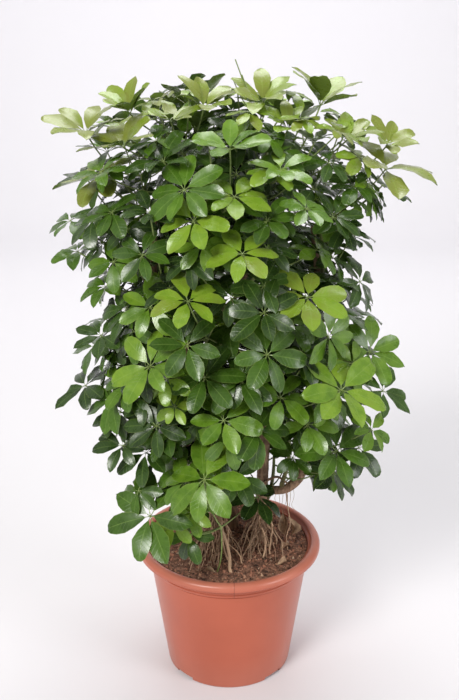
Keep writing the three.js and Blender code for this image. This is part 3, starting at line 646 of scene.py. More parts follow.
def root_line(start, bend, foot, radius, chance):
    """A root's wandering line from a stem to just under the soil, in metres."""
    a, b, c = (Vector(p) * MM for p in (start, bend, foot))
    line = []
    for i in range(ROOT_POINTS):
        t = i / (ROOT_POINTS - 1)
        place = a * (1 - t) ** 2 + b * (2 * t * (1 - t)) + c * t * t
        wander = ROOT_WANDER * math.sin(math.pi * t)
        place += wander * root_stray(a * 40 + Vector((0, 0, 5 * t + foot[0])))
        line.append((place, radius * MM * (1 - ROOT_TAPER * t) * chance.uniform(*ROOT_UNEVENNESS)))
    return line


def fine_root(stem, reach, spread, chance):
    """One fine root from the stem's foot down into the soil, by chance."""
    x, y = stem
    across, ahead, height = (chance.uniform(*span) for span in FINE_ROOT_START)
    start = Vector((x + across, y - ahead, height))
    foot = Vector((x + chance.uniform(*spread), y - chance.uniform(*reach), FINE_ROOT_FOOT))
    bend = start.lerp(foot, 0.45) + Vector([chance.uniform(*span) for span in FINE_ROOT_BEND])
    return root_line(start, bend, foot, chance.uniform(*FINE_ROOT_GIRTH), chance)


for node, parts in WOODY_STEMS.items():
    chance = random.Random(node)
    lines = []
    for places, radii in parts:
        lines.append(smooth_route([Vector(p) * MM for p in places], [r * MM for r in radii], STEM_STEP))
    marks = [0.0] * len(lines)
    for owner, start, bend, foot, radius in AERIAL_ROOTS:
        if owner == node:
            lines.append(root_line(start, bend, foot, radius, chance))
            marks.append(1.0)
    if node in FINE_ROOTS:
        count, stem, reach, spread = FINE_ROOTS[node]
        for _ in range(count):
            lines.append(fine_root(stem, reach, spread, chance))
            marks.append(chance.uniform(*FINE_ROOT_PALENESS))
    piece = bark_piece(node + "_bark", lines, marks)
    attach(piece, "root")
    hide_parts(node)

hair_lines = []
for start, drop in HAIRS:
    line = []
    for i in range(HAIR_POINTS):
        sway = Vector((math.sin(i * 0.9 + drop), math.cos(i * 0.7 + drop), 0)) * (HAIR_SWAY * i)
        place = Vector(start) + sway - Vector((0, 0, drop * i / (HAIR_POINTS - 1)))
        line.append((place * MM, HAIR_GIRTH * (1 - HAIR_TAPER * i)))
    hair_lines.append(line)
hairs = bark_piece("hair_roots", hair_lines, [0.5] * len(hair_lines), sides=HAIR_SIDES, ripple=0.0)
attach(hairs, "root")

# ---------------------------------------------------------------- the leafy shoots
# Thirty-six green shoots leave the woody stems. Every leaf is a whorl of seven or eight glossy leaflets on a
# long petiole: yellow-green where it is young, painted dark as shade inside the bush, and painted pale as
# light in the crown.
SHOOT_COUNT = 36
YOUNG_EVERY = 3
# How a packed shoot is read: how many faces meet at a hub of five or seven leaflets, how many
# corners of its edge belong to each, and the sizes that tell a hub and the stem's rings apart.
MERGE_DIGITS = 5
HUB_FACES = (20, 28)
RING_STEP = 4
LEAST_NOTCH = 0.0045
STEM_RING_SPAN = 0.011
LEAST_STEM_GIRTH = 0.0015
SHOOT_STEP = 0.012
# Places along a leaflet from its stalk to its tip, each with its share of the half width.
LEAFLET_STATIONS = [
    (0.0, 0.034), (0.11, 0.040), (0.19, 0.30), (0.36, 0.76),
    (0.59, 1.0), (0.79, 0.86), (0.93, 0.46), (1.0, 0.05)]
BLUNT_FROM = 0.75
LEAFLET_SIDES = (-1.0, -0.5, 0.0, 0.5, 1.0)
LEAFLET_THICKNESS = 0.010
LEAFLET_WAVE = 0.030
LEAFLET_SMOOTH_BELOW = 80
# Half width, rise over the chord, fold up from the midrib, curl down at the margins, twist, and
# how square the tip is.
LEAFLET_KINDS = [
    (0.222, 0.060, 0.24, 0.16, 0.00, -0.14),
    (0.238, 0.095, 0.28, 0.20, 0.16, 0.26),
    (0.200, 0.125, 0.34, 0.18, -0.20, -0.06),
    (0.230, 0.040, 0.38, 0.10, 0.24, 0.06),
    (0.222, 0.105, 0.18, 0.28, -0.28, 0.16),
    (0.150, 0.060, 0.55, 0.10, 0.00, 0.00),
]
GROWN_KINDS = (0, 1, 2, 3, 4)
YOUNG_KINDS = (5,)
WHORL = 7
WHORL_COUNTS = (7, 7, 8)
LEAFLET_STRAY = 0.14
LEAFLET_LENGTHS = (0.86, 1.0)
RING_STRAY = 0.12
RING_LENGTHS = (0.85, 1.05)
FLUTTER = 0.19
PETIOLE_GIRTH = 0.00125
PETIOLE_POINTS = 8
PETIOLE_SAG = 0.05
PETIOLE_BOW = 0.10
PETIOLE_WANDER = 0.04
PETIOLE_SWELL = 0.5
HUB_GAP = 0.0008
STALK_SIDES = 6
# Tones run from the darkest green (0) to the youngest, yellowest one (1). Dark tones also paint the shade
# inside the bush, and the crown's tones paint the light on top of it.
SHADE_TONES = (0.12, 0.58)
# Painted light: leaves high in the crown go towards these pale tones, for the sheen on them and the light
# through them on top of the bush.
CROWN_LIGHT_TONES = (0.84, 1.0)
CROWN_FROM = 0.89
CROWN_BAND = 0.12
LEAFLET_TONE_DRIFT = (-0.08, 0.07)
MOTTLE = 0.36
UPPER_COLOURS = [
    (0.00, (0.014, 0.032, 0.007)), (0.25, (0.035, 0.082, 0.008)), (0.48, (0.066, 0.148, 0.010)),
    (0.64, (0.124, 0.236, 0.016)), (0.78, (0.200, 0.328, 0.024)), (1.00, (0.184, 0.220, 0.030))]
LOWER_COLOURS = ((0.075, 0.140, 0.032), (0.155, 0.225, 0.036))
VEIN_COLOUR = (0.20, 0.34, 0.07)
RIB_COLOUR = (0.28, 0.42, 0.10)
MARGIN_COLOUR = (0.34, 0.42, 0.10)
LEAFLET_STALK_COLOUR = (0.220, 0.300, 0.085)
LEAFLET_STALK_END = 0.125
RIB_HALF = 0.018
MARGIN_FROM = 0.472
VEIN_SLANT = 0.30
VEIN_RATE = 62.0
VEIN_SHARE = 0.16
RIB_SHARE = 0.34
MARGIN_SHARE = 0.22
BLADE_ROUGHNESS = [(0.3, 0.23), (0.7, 0.34)]
GREEN_STALK = [(0.3, (0.110, 0.165, 0.036)), (0.7, (0.250, 0.320, 0.090))]
BROWN_STALK = [(0.3, (0.070, 0.046, 0.024)), (0.7, (0.190, 0.130, 0.070))]
# Each leaf's tone at the front (0 to 1), by its place in mm: its own green together with painted shade on
# leaves deep in the bush and painted light on those in the open.
# A leaf takes the nearest of these within reach.
FRONT_TONES = [
    ((244, -75, 944), 1.00), ((-203, -60, 929), 1.00), ((-220, -70, 1000), 1.00), ((-158, -110, 982), 0.96),
    ((142, -50, 1040), 0.97), ((51, -60, 1041), 0.93), ((-36, -70, 1038), 0.92), ((-85, -100, 1024), 0.90),
    ((-60, -225, 775), 0.77), ((-120, -215, 670), 0.60), ((-120, -170, 748), 0.60), ((-184, -90, 541), 0.12),
    ((-117, -170, 549), 0.16), ((-84, -190, 592), 0.76), ((-9, -215, 579), 0.60), ((-39, -215, 477), 0.63),
    ((-128, -180, 392), 0.38), ((-150, -70, 1028), 0.92), ((-66, -150, 340), 0.30), ((49, -90, 381), 0.08),
    ((126, -160, 546), 0.58), ((178, -130, 484), 0.38), ((79, -200, 613), 0.53), ((172, -200, 624), 0.72),
    ((238, -120, 521), 0.62), ((260, -70, 570), 0.30), ((229, -110, 655), 0.55), ((54, -215, 755), 0.12),
    ((59, -215, 689), 0.30), ((122, -190, 773), 0.83), ((19, -235, 846), 0.80), ((181, -90, 855), 0.14),
    ((200, -30, 830), 0.25), ((10, -205, 923), 0.74), ((2, -180, 988), 0.54), ((88, -100, 1012), 0.88),
    ((182, -60, 985), 0.92), ((252, -30, 974), 0.96), ((126, -140, 926), 0.12), ((-97, -150, 965), 0.22),
    ((-116, -180, 898), 0.08), ((-51, -215, 890), 0.74), ((-58, -190, 825), 0.16), ((-129, -190, 834), 0.30),
    ((-177, -140, 890), 0.35),
]
TONE_REACH = 0.030
# Some leaves at the front and in the crown have another close under them: its hub and radius in mm, and its
# tone, which holds painted shade in the dark ones and painted light in the pale crown ones besides its
# green.
SECOND_LEAVES = [
    ((-72, -186, 458), 52, 0.56), ((-30, -170, 436), 46, 0.70), ((-92, -166, 372), 46, 0.76),
    ((-62, -176, 398), 40, 0.66), ((-150, -150, 424), 48, 0.34), ((-96, -190, 640), 44, 0.60),
    ((150, -170, 600), 50, 0.56), ((196, -150, 650), 46, 0.62), ((-150, -140, 700), 46, 0.44),
    ((-206, -60, 640), 40, 0.40), ((-198, -30, 560), 38, 0.34), ((20, -200, 640), 44, 0.30),
    ((96, -170, 720), 46, 0.48), ((-40, -190, 850), 46, 0.64), ((60, -180, 960), 44, 0.72),
    ((200, -100, 966), 46, 0.84), ((166, -110, 1006), 40, 0.90), ((-186, -104, 952), 44, 0.46),
    ((-118, -120, 962), 44, 0.16), ((30, -110, 1034), 40, 0.90), ((110, -110, 1024), 38, 0.86),
    ((226, -40, 900), 44, 0.50), ((-214, -70, 858), 42, 0.44), ((-118, -40, 1046), 38, 0.90),
    ((-62, -30, 1060), 36, 0.84), ((14, -20, 1062), 36, 0.92), ((100, -20, 1056), 38, 0.90),
    ((184, -20, 1018), 40, 0.88), ((-190, -30, 1012), 36, 0.90), ((60, -130, 1000), 40, 0.46),
    ((-30, -140, 1002), 40, 0.24), ((152, -130, 962), 42, 0.26), ((-62, -160, 950), 40, 0.14),
    ((216, -90, 930), 40, 0.66)]
# A second leaf faces outwards and a little up, and more upwards in the crown.
SECOND_SPREAD = 1.5
SECOND_FORWARD = 0.05
SECOND_DROOP = (0.05, 0.4)
SECOND_LIFT = 0.22
CROWN_LIFT = 5
CROWN_LIFT_FROM = 0.9
# Low at the front, five petioles meet in one bare knot: its place and the hubs they reach for, in mm.
STALK_KNOT = (-13, -150, 356)
KNOT_HUBS = [(-39, -213, 475), (46, -92, 381), (-46, -160, 348), (-66, -148, 340), (-20, -120, 250)]
# Thin bud spears, drawn as thin stalks, stand above the crown: each one's foot and tip in mm.
BUD_SPEARS = [
    ((34, -62, 1044), (10, -62, 1108)), ((38, -64, 1040), (20, -66, 1086)),
    ((30, -60, 1036), (8, -58, 1076))]
BUD_GIRTH = 0.0009
# Smaller leaves inside the bush hide the stems: each needs a packed leaf further out beyond it.
INNER_LEAVES = 252
INNER_TRIES = 40
INNER_REACH = (0.045, 0.105)
INNER_RADIUS = (0.042, 0.060)
INNER_SPACE = 0.036
INNER_COVER = 0.125
INNER_DEPTH = 0.012
INNER_DROOP = (0.05, 0.35)
# Most of them are painted very dark, as painted shade deep in the bush; the rest keep mid greens.
INNER_SHADED_SHARE = 0.7
INNER_SHADED_TONES = (0.0, 0.20)
INNER_LIGHT_TONES = (0.25, 0.60)
LOWEST_LEAF = 0.33
# Nothing of them grows just before the main stem's foot or just behind it.
OPEN_STEM_BOXES = [((-0.065, -0.4, 0.3), (0.17, 0.02, 0.535)), ((-0.01, 0.02, 0.3), (0.14, 0.14, 0.47))]
# Folded young leaves round the bud at each shoot's tip.
TIP_LEAVES = 2
TIP_LEAFLETS = 6
TIP_REACH = (0.012, 0.026)
TIP_RADIUS = (0.016, 0.030)
TIP_TONES = (0.55, 0.85)


def leaf_material(name, lift):
    """Glossy green by tone, with paler veins, rib, margin and stalk, and a dull underside."""
    leaf = Finish(name)
    sheet = leaf.add("ShaderNodeUVMap", uv_map="veins").outputs[0]
    sheet = leaf.add("ShaderNodeSeparateXYZ", {"Vector": sheet}).outputs
    tone = leaf.stored("tone")
    mottle = leaf.cloud(60.0, 3.0)
    drift = leaf.math("MULTIPLY", leaf.math("SUBTRACT", mottle, 0.5), MOTTLE)
    upper = leaf.ramp(leaf.math("ADD", leaf.math("ADD", tone, drift), lift), UPPER_COLOURS)
    off_rib = leaf.math("ABSOLUTE", leaf.math("SUBTRACT", sheet["Y"], 0.5))
    rib = leaf.math("LESS_THAN", off_rib, RIB_HALF)
    margin = leaf.math("GREATER_THAN", off_rib, MARGIN_FROM)
    slant = leaf.math("SUBTRACT", sheet["X"], leaf.math("MULTIPLY", off_rib, VEIN_SLANT))
    wave = leaf.math("SINE", leaf.math("MULTIPLY", slant, VEIN_RATE))
    vein = leaf.math("MAXIMUM", leaf.math("MULTIPLY", leaf.math("SUBTRACT", wave, 0.80), 3.0), 0.0)
    upper = leaf.mix(leaf.math("MULTIPLY", vein, VEIN_SHARE), upper, VEIN_COLOUR)
    upper = leaf.mix(leaf.math("MULTIPLY", rib, RIB_SHARE), upper, RIB_COLOUR)
    upper = leaf.mix(leaf.math("MULTIPLY", margin, MARGIN_SHARE), upper, MARGIN_COLOUR)
    lower = leaf.mix(leaf.math("POWER", tone, 2.0), *LOWER_COLOURS)
    blade = leaf.mix(leaf.stored("underside"), upper, lower)
    on_stalk = leaf.math("LESS_THAN", sheet["X"], LEAFLET_STALK_END)
    leaf.put(leaf.mix(on_stalk, blade, LEAFLET_STALK_COLOUR), leaf.skin["Base Color"])
    leaf.put(leaf.ramp(mottle, BLADE_ROUGHNESS), leaf.skin["Roughness"])
    leaf.put(0.40, leaf.skin["Specular IOR Level"])
    leaf.put(0.30, leaf.skin["Coat Weight"])
    leaf.put(0.20, leaf.skin["Coat Roughness"])
    leaf.bump(leaf.math("ADD", vein, leaf.math("MULTIPLY", mottle, 0.6)), 0.35, 0.0005)
    return leaf.material


blade_mature = leaf_material("leaf_blade_mature", 0.0)
blade_young = leaf_material("leaf_blade_young", 0.05)

stalk = Finish("green_stalk")
grain = stalk.cloud(160.0, 3.0)
tint = stalk.mix(stalk.stored("woody"), stalk.ramp(grain, GREEN_STALK), stalk.ramp(grain, BROWN_STALK))
stalk.put(tint, stalk.skin["Base Color"])
stalk.put(0.55, stalk.skin["Roughness"])
stalk.bump(grain, 0.4, 0.0005)


def leaflet_object(name, half_width, rise, fold, curl, twist, square):
    """One closed, thin blade on its short stalk: it grows along +X to 1, and its top faces +Z."""
    top, faces, marks, sheet = [], [], [], []
    for along, share in LEAFLET_STATIONS:
        share += square * max(0.0, along - BLUNT_FROM) / (1 - BLUNT_FROM)
        for side in LEAFLET_SIDES:
            y = side * share * half_width
            z = rise * 4 * along * (1 - along) + (fold * abs(y) - curl * y * y / half_width) * along
            wave = math.sin(11 * along + 2 * side + 9 * twist)
            z += twist * y * along + LEAFLET_WAVE * share * abs(side) * wave
            top.append(Vector((along, y, z)))
            sheet.append((along, 0.5 + side / 2))
    low = {}
    points = list(top)
    for i, (along, _) in enumerate(LEAFLET_STATIONS):
        for j in (1, 2, 3):
            low[i, j] = len(points)
            thick = LEAFLET_THICKNESS * (1.5 if j == 2 else 0.8)
            points.append(top[5 * i + j] - Vector((0, 0, thick)))
            sheet.append((along, 0.5 + LEAFLET_SIDES[j] / 2))
        low[i, 0], low[i, 4] = 5 * i, 5 * i + 4
    rows = len(LEAFLET_STATIONS)
    for i in range(rows - 1):
        for j in range(4):
            faces.append((5 * i + j, 5 * i + 5 + j, 5 * i + 6 + j, 5 * i + 1 + j))
            marks.append(0.0)
            faces.append((low[i, j], low[i, j + 1], low[i + 1, j + 1], low[i + 1, j]))
            marks.append(1.0)
    faces.append([0, 1, 2, 3, 4, low[0, 3], low[0, 2], low[0, 1]])
    last = 5 * (rows - 1)
    under_tip = [low[rows - 1, j] for j in (1, 2, 3)]
    faces.append([*under_tip, last + 4, last + 3, last + 2, last + 1, last])
    marks += [1.0, 1.0]
    mesh = bpy.data.meshes.new(name)
    mesh.from_pydata(points, [], faces)
    mesh.shade_smooth()
    mesh.set_sharp_from_angle(angle=math.radians(LEAFLET_SMOOTH_BELOW))
    mesh.attributes.new("underside", "FLOAT", "FACE").data.foreach_set("value", marks)
    veins = mesh.uv_layers.new(name="veins")
    for loop in mesh.loops:
        veins.data[loop.index].uv = sheet[loop.vertex_index]
    return bpy.data.objects.new(name, mesh)


leaflets = bpy.data.collections.new("leaflet_kinds")
for i, kind in enumerate(LEAFLET_KINDS):
    leaflets.objects.link(leaflet_object(f"leaflet_{i}", *kind))

leaf_growth = Growth("leaves_on_shoot", {
    "Leaflets": "Collection", "Blade": "Material", "Stalk": "Material", "Flutter": "Float", "Seed": "Int"})
given = leaf_growth.given
kinds = leaf_growth.add("GeometryNodeCollectionInfo", {
    "Collection": given["Leaflets"], "Separate Children": True, "Reset Children": True})
blades = leaf_growth.add("GeometryNodeInstanceOnPoints", {
    "Points": given["Geometry"], "Selection": leaf_growth.stored("leaflet", "BOOLEAN"),
    "Instance": kinds.outputs[0], "Pick Instance": True, "Instance Index": leaf_growth.stored("kind", "INT"),
    "Rotation": leaf_growth.stored("turn", "FLOAT_VECTOR"), "Scale": leaf_growth.stored("size")}).outputs[0]
sway = leaf_growth.add("FunctionNodeRandomValue", {
    "Min": (-1.0,) * 3, "Max": (1.0,) * 3, "Seed": given["Seed"]}, data_type="FLOAT_VECTOR")
sway = leaf_growth.add("ShaderNodeVectorMath", {
    0: sway.outputs[0], "Scale": given["Flutter"]}, operation="SCALE")
blades = leaf_growth.add("GeometryNodeRotateInstances", {
    "Instances": blades, "Rotation": sway.outputs[0]}).outputs[0]
blades = leaf_growth.change("GeometryNodeSetMaterial", blades, {"Material": given["Blade"]})
stalks = leaf_growth.tubes(given["Geometry"], STALK_SIDES)
stalks = leaf_growth.change("GeometryNodeSetShadeSmooth", stalks)
stalks = leaf_growth.change("GeometryNodeSetMaterial", stalks, {"Material": given["Stalk"]})
both = leaf_growth.add("GeometryNodeJoinGeometry")
for part in (stalks, blades):
    leaf_growth.put(part, both.inputs[0])
leaf_growth.put(leaf_growth.change("GeometryNodeRealizeInstances", both.outputs[0]), leaf_growth.result)


def read_shoot(name):
    """One packed shoot's leaves, as (hub, normal, tips, foot), and the corners of its stem."""
    spots, ids = {}, []
    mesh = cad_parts[name].data
    for vertex in mesh.vertices:
        key = tuple(round(c, MERGE_DIGITS) for c in vertex.co)
        ids.append(spots.setdefault(key, len(spots)))
    places = [Vector(key) for key in spots]
    around = [[] for _ in places]
    for polygon in mesh.polygons:
        corners = [ids[v] for v in polygon.vertices]
        for corner in corners:
            around[corner].append(corners)
    used = set()
    leaves = []
    for hub, fan in enumerate(around):
        near = min((places[v] - places[hub]).length for corners in fan for v in corners if v != hub)
        if len(fan) not in HUB_FACES or near < LEAST_NOTCH:
            continue
        after = {}
        for corners in fan:
            i = corners.index(hub)
            after[corners[(i + 1) % 3]] = corners[(i + 2) % 3]
        ring = [next(iter(after))]
        while len(ring) < len(after):
            ring.append(after[ring[-1]])
        far = [sum((places[v] - places[hub]).length for v in ring[i::RING_STEP]) for i in range(RING_STEP)]
        tips = [places[v] for v in ring[far.index(max(far))::RING_STEP]]
        normal = Vector()
        for a, b in after.items():
            normal += (places[a] - places[hub]).cross(places[b] - places[hub])
        known = {hub, *ring}
        neck = {v for a in ring for corners in around[a] for v in corners} - known
        known |= neck
        foot = {v for a in neck for corners in around[a] for v in corners} - known
        used |= known | foot
        middle = sum((places[v] for v in foot), Vector()) / max(1, len(foot))
        leaves.append((places[hub], normal.normalized(), tips, middle))
    return leaves, [places[v] for v in range(len(places)) if v not in used]


def near_lines(place, lines):
    """The nearest point to a place on some lines, and how far it is."""
    best = (None, 1e9)
    for line in lines:
        for a, b in zip(line, line[1:]):
            t = max(0.0, min(1.0, (place - a).dot(b - a) / max(1e-12, (b - a).length_squared)))
            spot = a.lerp(b, t)
            if (spot - place).length < best[1]:
                best = (spot, (spot - place).length)
    return best


wood_lines = [[Vector(p) * MM for p in places] for parts in WOODY_STEMS.values() for places, _ in parts]


def stem_line(corners):
    """The shoot's stem from inside the wood to its tip, as (place, girth)."""
    groups = []
    for corner in corners:
        for group in groups:
            if (corner - group[0]).length < STEM_RING_SPAN:
                group.append(corner)
                break
        else:
            groups.append([corner])
    rings = []
    for group in groups:
        centre = sum(group, Vector()) / len(group)
        girth = sum((c - centre).length for c in group) / len(group)
        rings.append((centre, max(LEAST_STEM_GIRTH, girth)))
    rings.sort(key=lambda ring: near_lines(ring[0], wood_lines)[1])
    line = [rings.pop(0)]
    while rings:
        rings.sort(key=lambda ring: (ring[0] - line[-1][0]).length)
        line.append(rings.pop(0))
    root = near_lines(line[0][0], wood_lines)[0]
    line.insert(0, (root, line[0][1]))
    return smooth_route([p for p, _ in line], [g for _, g in line], SHOOT_STEP)


class ShootLines:
    """Gathers one shoot's points: the lines of its stem and stalks, and a point for each leaflet."""

    def __init__(self, chance):
        self.chance = chance
        self.points, self.edges, self.girth, self.woody = [], [], [], []
        self.leaflet, self.kind, self.size, self.turn, self.tone = [], [], [], [], []

    def add_point(self, place, girth=0.0, woody=0.0, leaflet=False, kind=0, size=0.0, turn=(0, 0, 0),
                  tone=0.0):
        self.points.append(place)
        for values, value in ((self.girth, girth), (self.woody, woody), (self.leaflet, leaflet),
                              (self.kind, kind), (self.size, size), (self.tone, tone)):
            values.append(value)
        self.turn.extend(turn)

    def add_line(self, line, woody):
        """A line of (place, girth), with how woody it is at its start and end."""
        start = len(self.points)
        for i, (place, girth) in enumerate(line):
            self.add_point(place, girth, woody[0] + (woody[1] - woody[0]) * i / (len(line) - 1))
        self.edges.extend((start + i, start + i + 1) for i in range(len(line) - 1))

    def add_petiole(self, base, hub, normal, girth=PETIOLE_GIRTH):
        """A sagging stalk, thicker at its base, which reaches the leaf's hub from behind."""
        chance = self.chance
        length = (hub - base).length
        bend = Vector([chance.uniform(-PETIOLE_WANDER, PETIOLE_WANDER) for _ in range(3)])
        bend = (bend - Vector((0, 0, PETIOLE_SAG)) - normal * PETIOLE_BOW) * length
        line = []
        for i in range(PETIOLE_POINTS):
            t = i / (PETIOLE_POINTS - 1)
            place = base.lerp(hub - normal * HUB_GAP, t) + bend * (4 * t * (1 - t))
            line.append((place, girth * (1 + PETIOLE_SWELL * (1 - min(1.0, 4 * t)))))
        self.add_line(line, (0.1, 0.0))

    def add_leaf(self, hub, normal, tips, tone, count, kinds):
        """Leaflets round the hub: towards the tips, or spread evenly when there are more of them."""
        chance = self.chance
        side = normal.orthogonal().normalized()
        front = normal.cross(side)
        polar = []
        for tip in tips:
            away = tip - hub
            polar.append((math.atan2(away.dot(front), away.dot(side)), away.dot(normal), away.length))
        polar.sort()
        if count == len(polar):
            spread = polar
        else:
            start = chance.uniform(0, 2 * math.pi)
            spread = []
            for k in range(count):
                turn = start + 2 * math.pi * (k + chance.uniform(-LEAFLET_STRAY, LEAFLET_STRAY)) / count
                turn = (turn + math.pi) % (2 * math.pi) - math.pi
                after = next((i for i, p in enumerate(polar) if p[0] > turn), 0)
                a, b = polar[after - 1], polar[after]
                gap = (b[0] - a[0]) % (2 * math.pi)
                t = ((turn - a[0]) % (2 * math.pi)) / max(gap, 1e-6)
                reach = (a[2] + (b[2] - a[2]) * t) * chance.uniform(*LEAFLET_LENGTHS)
                spread.append((turn, a[1] + (b[1] - a[1]) * t, reach))
        for turn, rise, length in spread:
            flat = math.sqrt(max(1e-9, length ** 2 - rise ** 2))
            along = ((side * math.cos(turn) + front * math.sin(turn)) * flat + normal * rise).normalized()
            up = (normal - along * normal.dot(along)).normalized()
            matrix = Matrix((along, up.cross(along), up)).transposed()
            self.add_point(hub, leaflet=True, kind=chance.choice(kinds), size=length,
                           turn=matrix.to_euler(), tone=tone + chance.uniform(*LEAFLET_TONE_DRIFT))

    def mesh(self, name):
        mesh = bpy.data.meshes.new(name)
        mesh.from_pydata(self.points, self.edges, [])
        for label, kind, values in (
                ("girth", "FLOAT", self.girth), ("woody", "FLOAT", self.woody),
                ("size", "FLOAT", self.size), ("tone", "FLOAT", self.tone),
                ("kind", "INT", self.kind), ("leaflet", "BOOLEAN", self.leaflet)):
            mesh.attributes.new(label, kind, "POINT").data.foreach_set("value", values)
        mesh.attributes.new("turn", "FLOAT_VECTOR", "POINT").data.foreach_set("vector", self.turn)
        return mesh


def leaf_tone(hub, chance):
    """A packed leaf's tone: as seen at the front, and elsewhere by chance, brighter in the crown as painted
    light.
    """
    tone = chance.uniform(*SHADE_TONES)
    # Painted light: the higher in the crown, the more the tone goes towards the pale crown tones.
    crown = max(0.0, min(1.0, (hub.z - CROWN_FROM) / CROWN_BAND)) * chance.uniform(0.5, 1.0)
    tone += (chance.uniform(*CROWN_LIGHT_TONES) - tone) * crown
    closest = TONE_REACH
    for place, front_tone in FRONT_TONES:
        away = (Vector(place) * MM - hub).length
        if away < closest:
            closest, tone = away, front_tone
    return tone


def ring_of_tips(hub, normal, radius, droop, chance):
    """The leaflets' tips spread round a hub, each drooping by chance."""
    side = normal.orthogonal().normalized()
    tips = []
    for k in range(WHORL):
        turn = 2 * math.pi * k / WHORL + chance.uniform(-RING_STRAY, RING_STRAY)
        away = side * math.cos(turn) + normal.cross(side) * math.sin(turn)
        away -= normal * chance.uniform(*droop)
        tips.append(hub + away * radius * chance.uniform(*RING_LENGTHS))
    return tips


shoots = {}
for i in range(SHOOT_COUNT):
    name = f"shoot_{i + 1:02d}"
    leaves, corners = read_shoot(name)
    shoots[name] = (leaves, stem_line(corners))
packed_hubs = [leaf[0] for leaves, _ in shoots.values() for leaf in leaves]
inner_hubs = []


def inner_leaf(line, chance):
    """A place on the stem with the hub and normal of a free, covered leaf, or None."""
    for _ in range(INNER_TRIES):
        place, _ = line[chance.randrange(len(line) // 5, len(line))]
        turn = chance.uniform(0, 2 * math.pi)
        away = Vector((math.cos(turn), math.sin(turn), chance.uniform(0.0, 1.1))).normalized()
        hub = place + away * chance.uniform(*INNER_REACH)
        radial = Vector((hub.x, hub.y, 0))
        by_stem = any(all(low < c < high for c, low, high in zip(hub, *box)) for box in OPEN_STEM_BOXES)
        if hub.z < LOWEST_LEAF or by_stem:
            continue
        if any((hub - other).length < INNER_SPACE for other in packed_hubs + inner_hubs):
            continue
        beyond = [other for other in packed_hubs
                  if math.hypot(other.x, other.y) > radial.length + INNER_DEPTH]
        if any((hub - other).length < INNER_COVER for other in beyond):
            inner_hubs.append(hub)
            # It faces away from the stem, out of the bush and up.
            normal = (away * 0.5 + radial.normalized() * 0.6 + Vector((0, 0, 0.9))
                      + Vector([chance.uniform(-0.4, 0.4) for _ in range(3)])).normalized()
            return place, hub, normal
    return None


def nearest_shoot(place):
    """The name of the shoot whose stem is nearest."""
    return min(shoots, key=lambda name: near_lines(place, [[p for p, _ in shoots[name][1]]])[1])


extra_stalks = [(Vector(STALK_KNOT) * MM, Vector(hub) * MM, PETIOLE_GIRTH) for hub in KNOT_HUBS]
extra_stalks += [(Vector(foot) * MM, Vector(tip) * MM, BUD_GIRTH) for foot, tip in BUD_SPEARS]
second_leaves = {}
for hub, radius, tone in SECOND_LEAVES:
    hub = Vector(hub) * MM
    second_leaves.setdefault(nearest_shoot(hub), []).append((hub, radius * MM, tone))

for i, (name, (leaves, line)) in enumerate(shoots.items()):
    chance = random.Random(name)
    lines = ShootLines(chance)
    lines.add_line(line, (0.9, 0.1))
    for hub, radius, tone in second_leaves.get(name, []):
        normal = Vector((hub.x * SECOND_SPREAD + chance.uniform(-0.1, 0.1), hub.y - SECOND_FORWARD, 0))
        normal.z = SECOND_LIFT + CROWN_LIFT * max(0.0, hub.z - CROWN_LIFT_FROM) + chance.uniform(-0.05, 0.1)
        normal.normalize()
        lines.add_petiole(near_lines(hub, [[p for p, _ in line]])[0], hub, normal)
        tips = ring_of_tips(hub, normal, radius, SECOND_DROOP, chance)
        lines.add_leaf(hub, normal, tips, tone, WHORL, GROWN_KINDS)
    for start, end, girth in extra_stalks:
        if nearest_shoot(start) == name:
            lines.add_petiole(start, end, Vector(), girth)
    for hub, normal, tips, foot in leaves:
        lines.add_petiole(near_lines(foot, [[p for p, _ in line]])[0], hub, normal)
        count = len(tips) if len(tips) > 5 else chance.choice(WHORL_COUNTS)
        lines.add_leaf(hub, normal, tips, leaf_tone(hub, chance), count, GROWN_KINDS)
    for _ in range(INNER_LEAVES // SHOOT_COUNT):
        found = inner_leaf(line, chance)
        if found:
            base, hub, normal = found
            tips = ring_of_tips(hub, normal, chance.uniform(*INNER_RADIUS), INNER_DROOP, chance)
            lines.add_petiole(base, hub, normal, PETIOLE_GIRTH * 0.9)
            # Painted shade: most inner leaves take the darkest tones.
            dark = chance.random() < INNER_SHADED_SHARE
            tone = chance.uniform(*(INNER_SHADED_TONES if dark else INNER_LIGHT_TONES))
            lines.add_leaf(hub, normal, tips, tone, WHORL, GROWN_KINDS)
    tip, _ = line[-1]
    rise = (tip - line[-2][0]).normalized()
    for _ in range(TIP_LEAVES):
        lean = (rise + Vector([chance.uniform(-0.5, 0.5) for _ in range(3)])).normalized()
        hub = tip + lean * chance.uniform(*TIP_REACH)
        side = lean.orthogonal().normalized()
        tips = []
        for k in range(TIP_LEAFLETS):
            turn = 2 * math.pi * k / TIP_LEAFLETS
            away = side * math.cos(turn) + lean.cross(side) * math.sin(turn)
            tips.append(hub + (away * 0.6 + lean * 0.8) * chance.uniform(*TIP_RADIUS))
        lines.add_petiole(tip, hub, lean, PETIOLE_GIRTH * 0.8)
        lines.add_leaf(hub, lean, tips, chance.uniform(*TIP_TONES), TIP_LEAFLETS, YOUNG_KINDS)

    young = i % YOUNG_EVERY == 0
    piece = bpy.data.objects.new(name + "_leaves", lines.mesh(name + "_leaves"))
    scene.collection.objects.link(piece)
    leaf_growth.grow(piece, {
        "Leaflets": leaflets, "Blade": blade_young if young else blade_mature, "Stalk": stalk.material,
        "Flutter": FLUTTER, "Seed": i})
    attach(piece, "root")
    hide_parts(name)

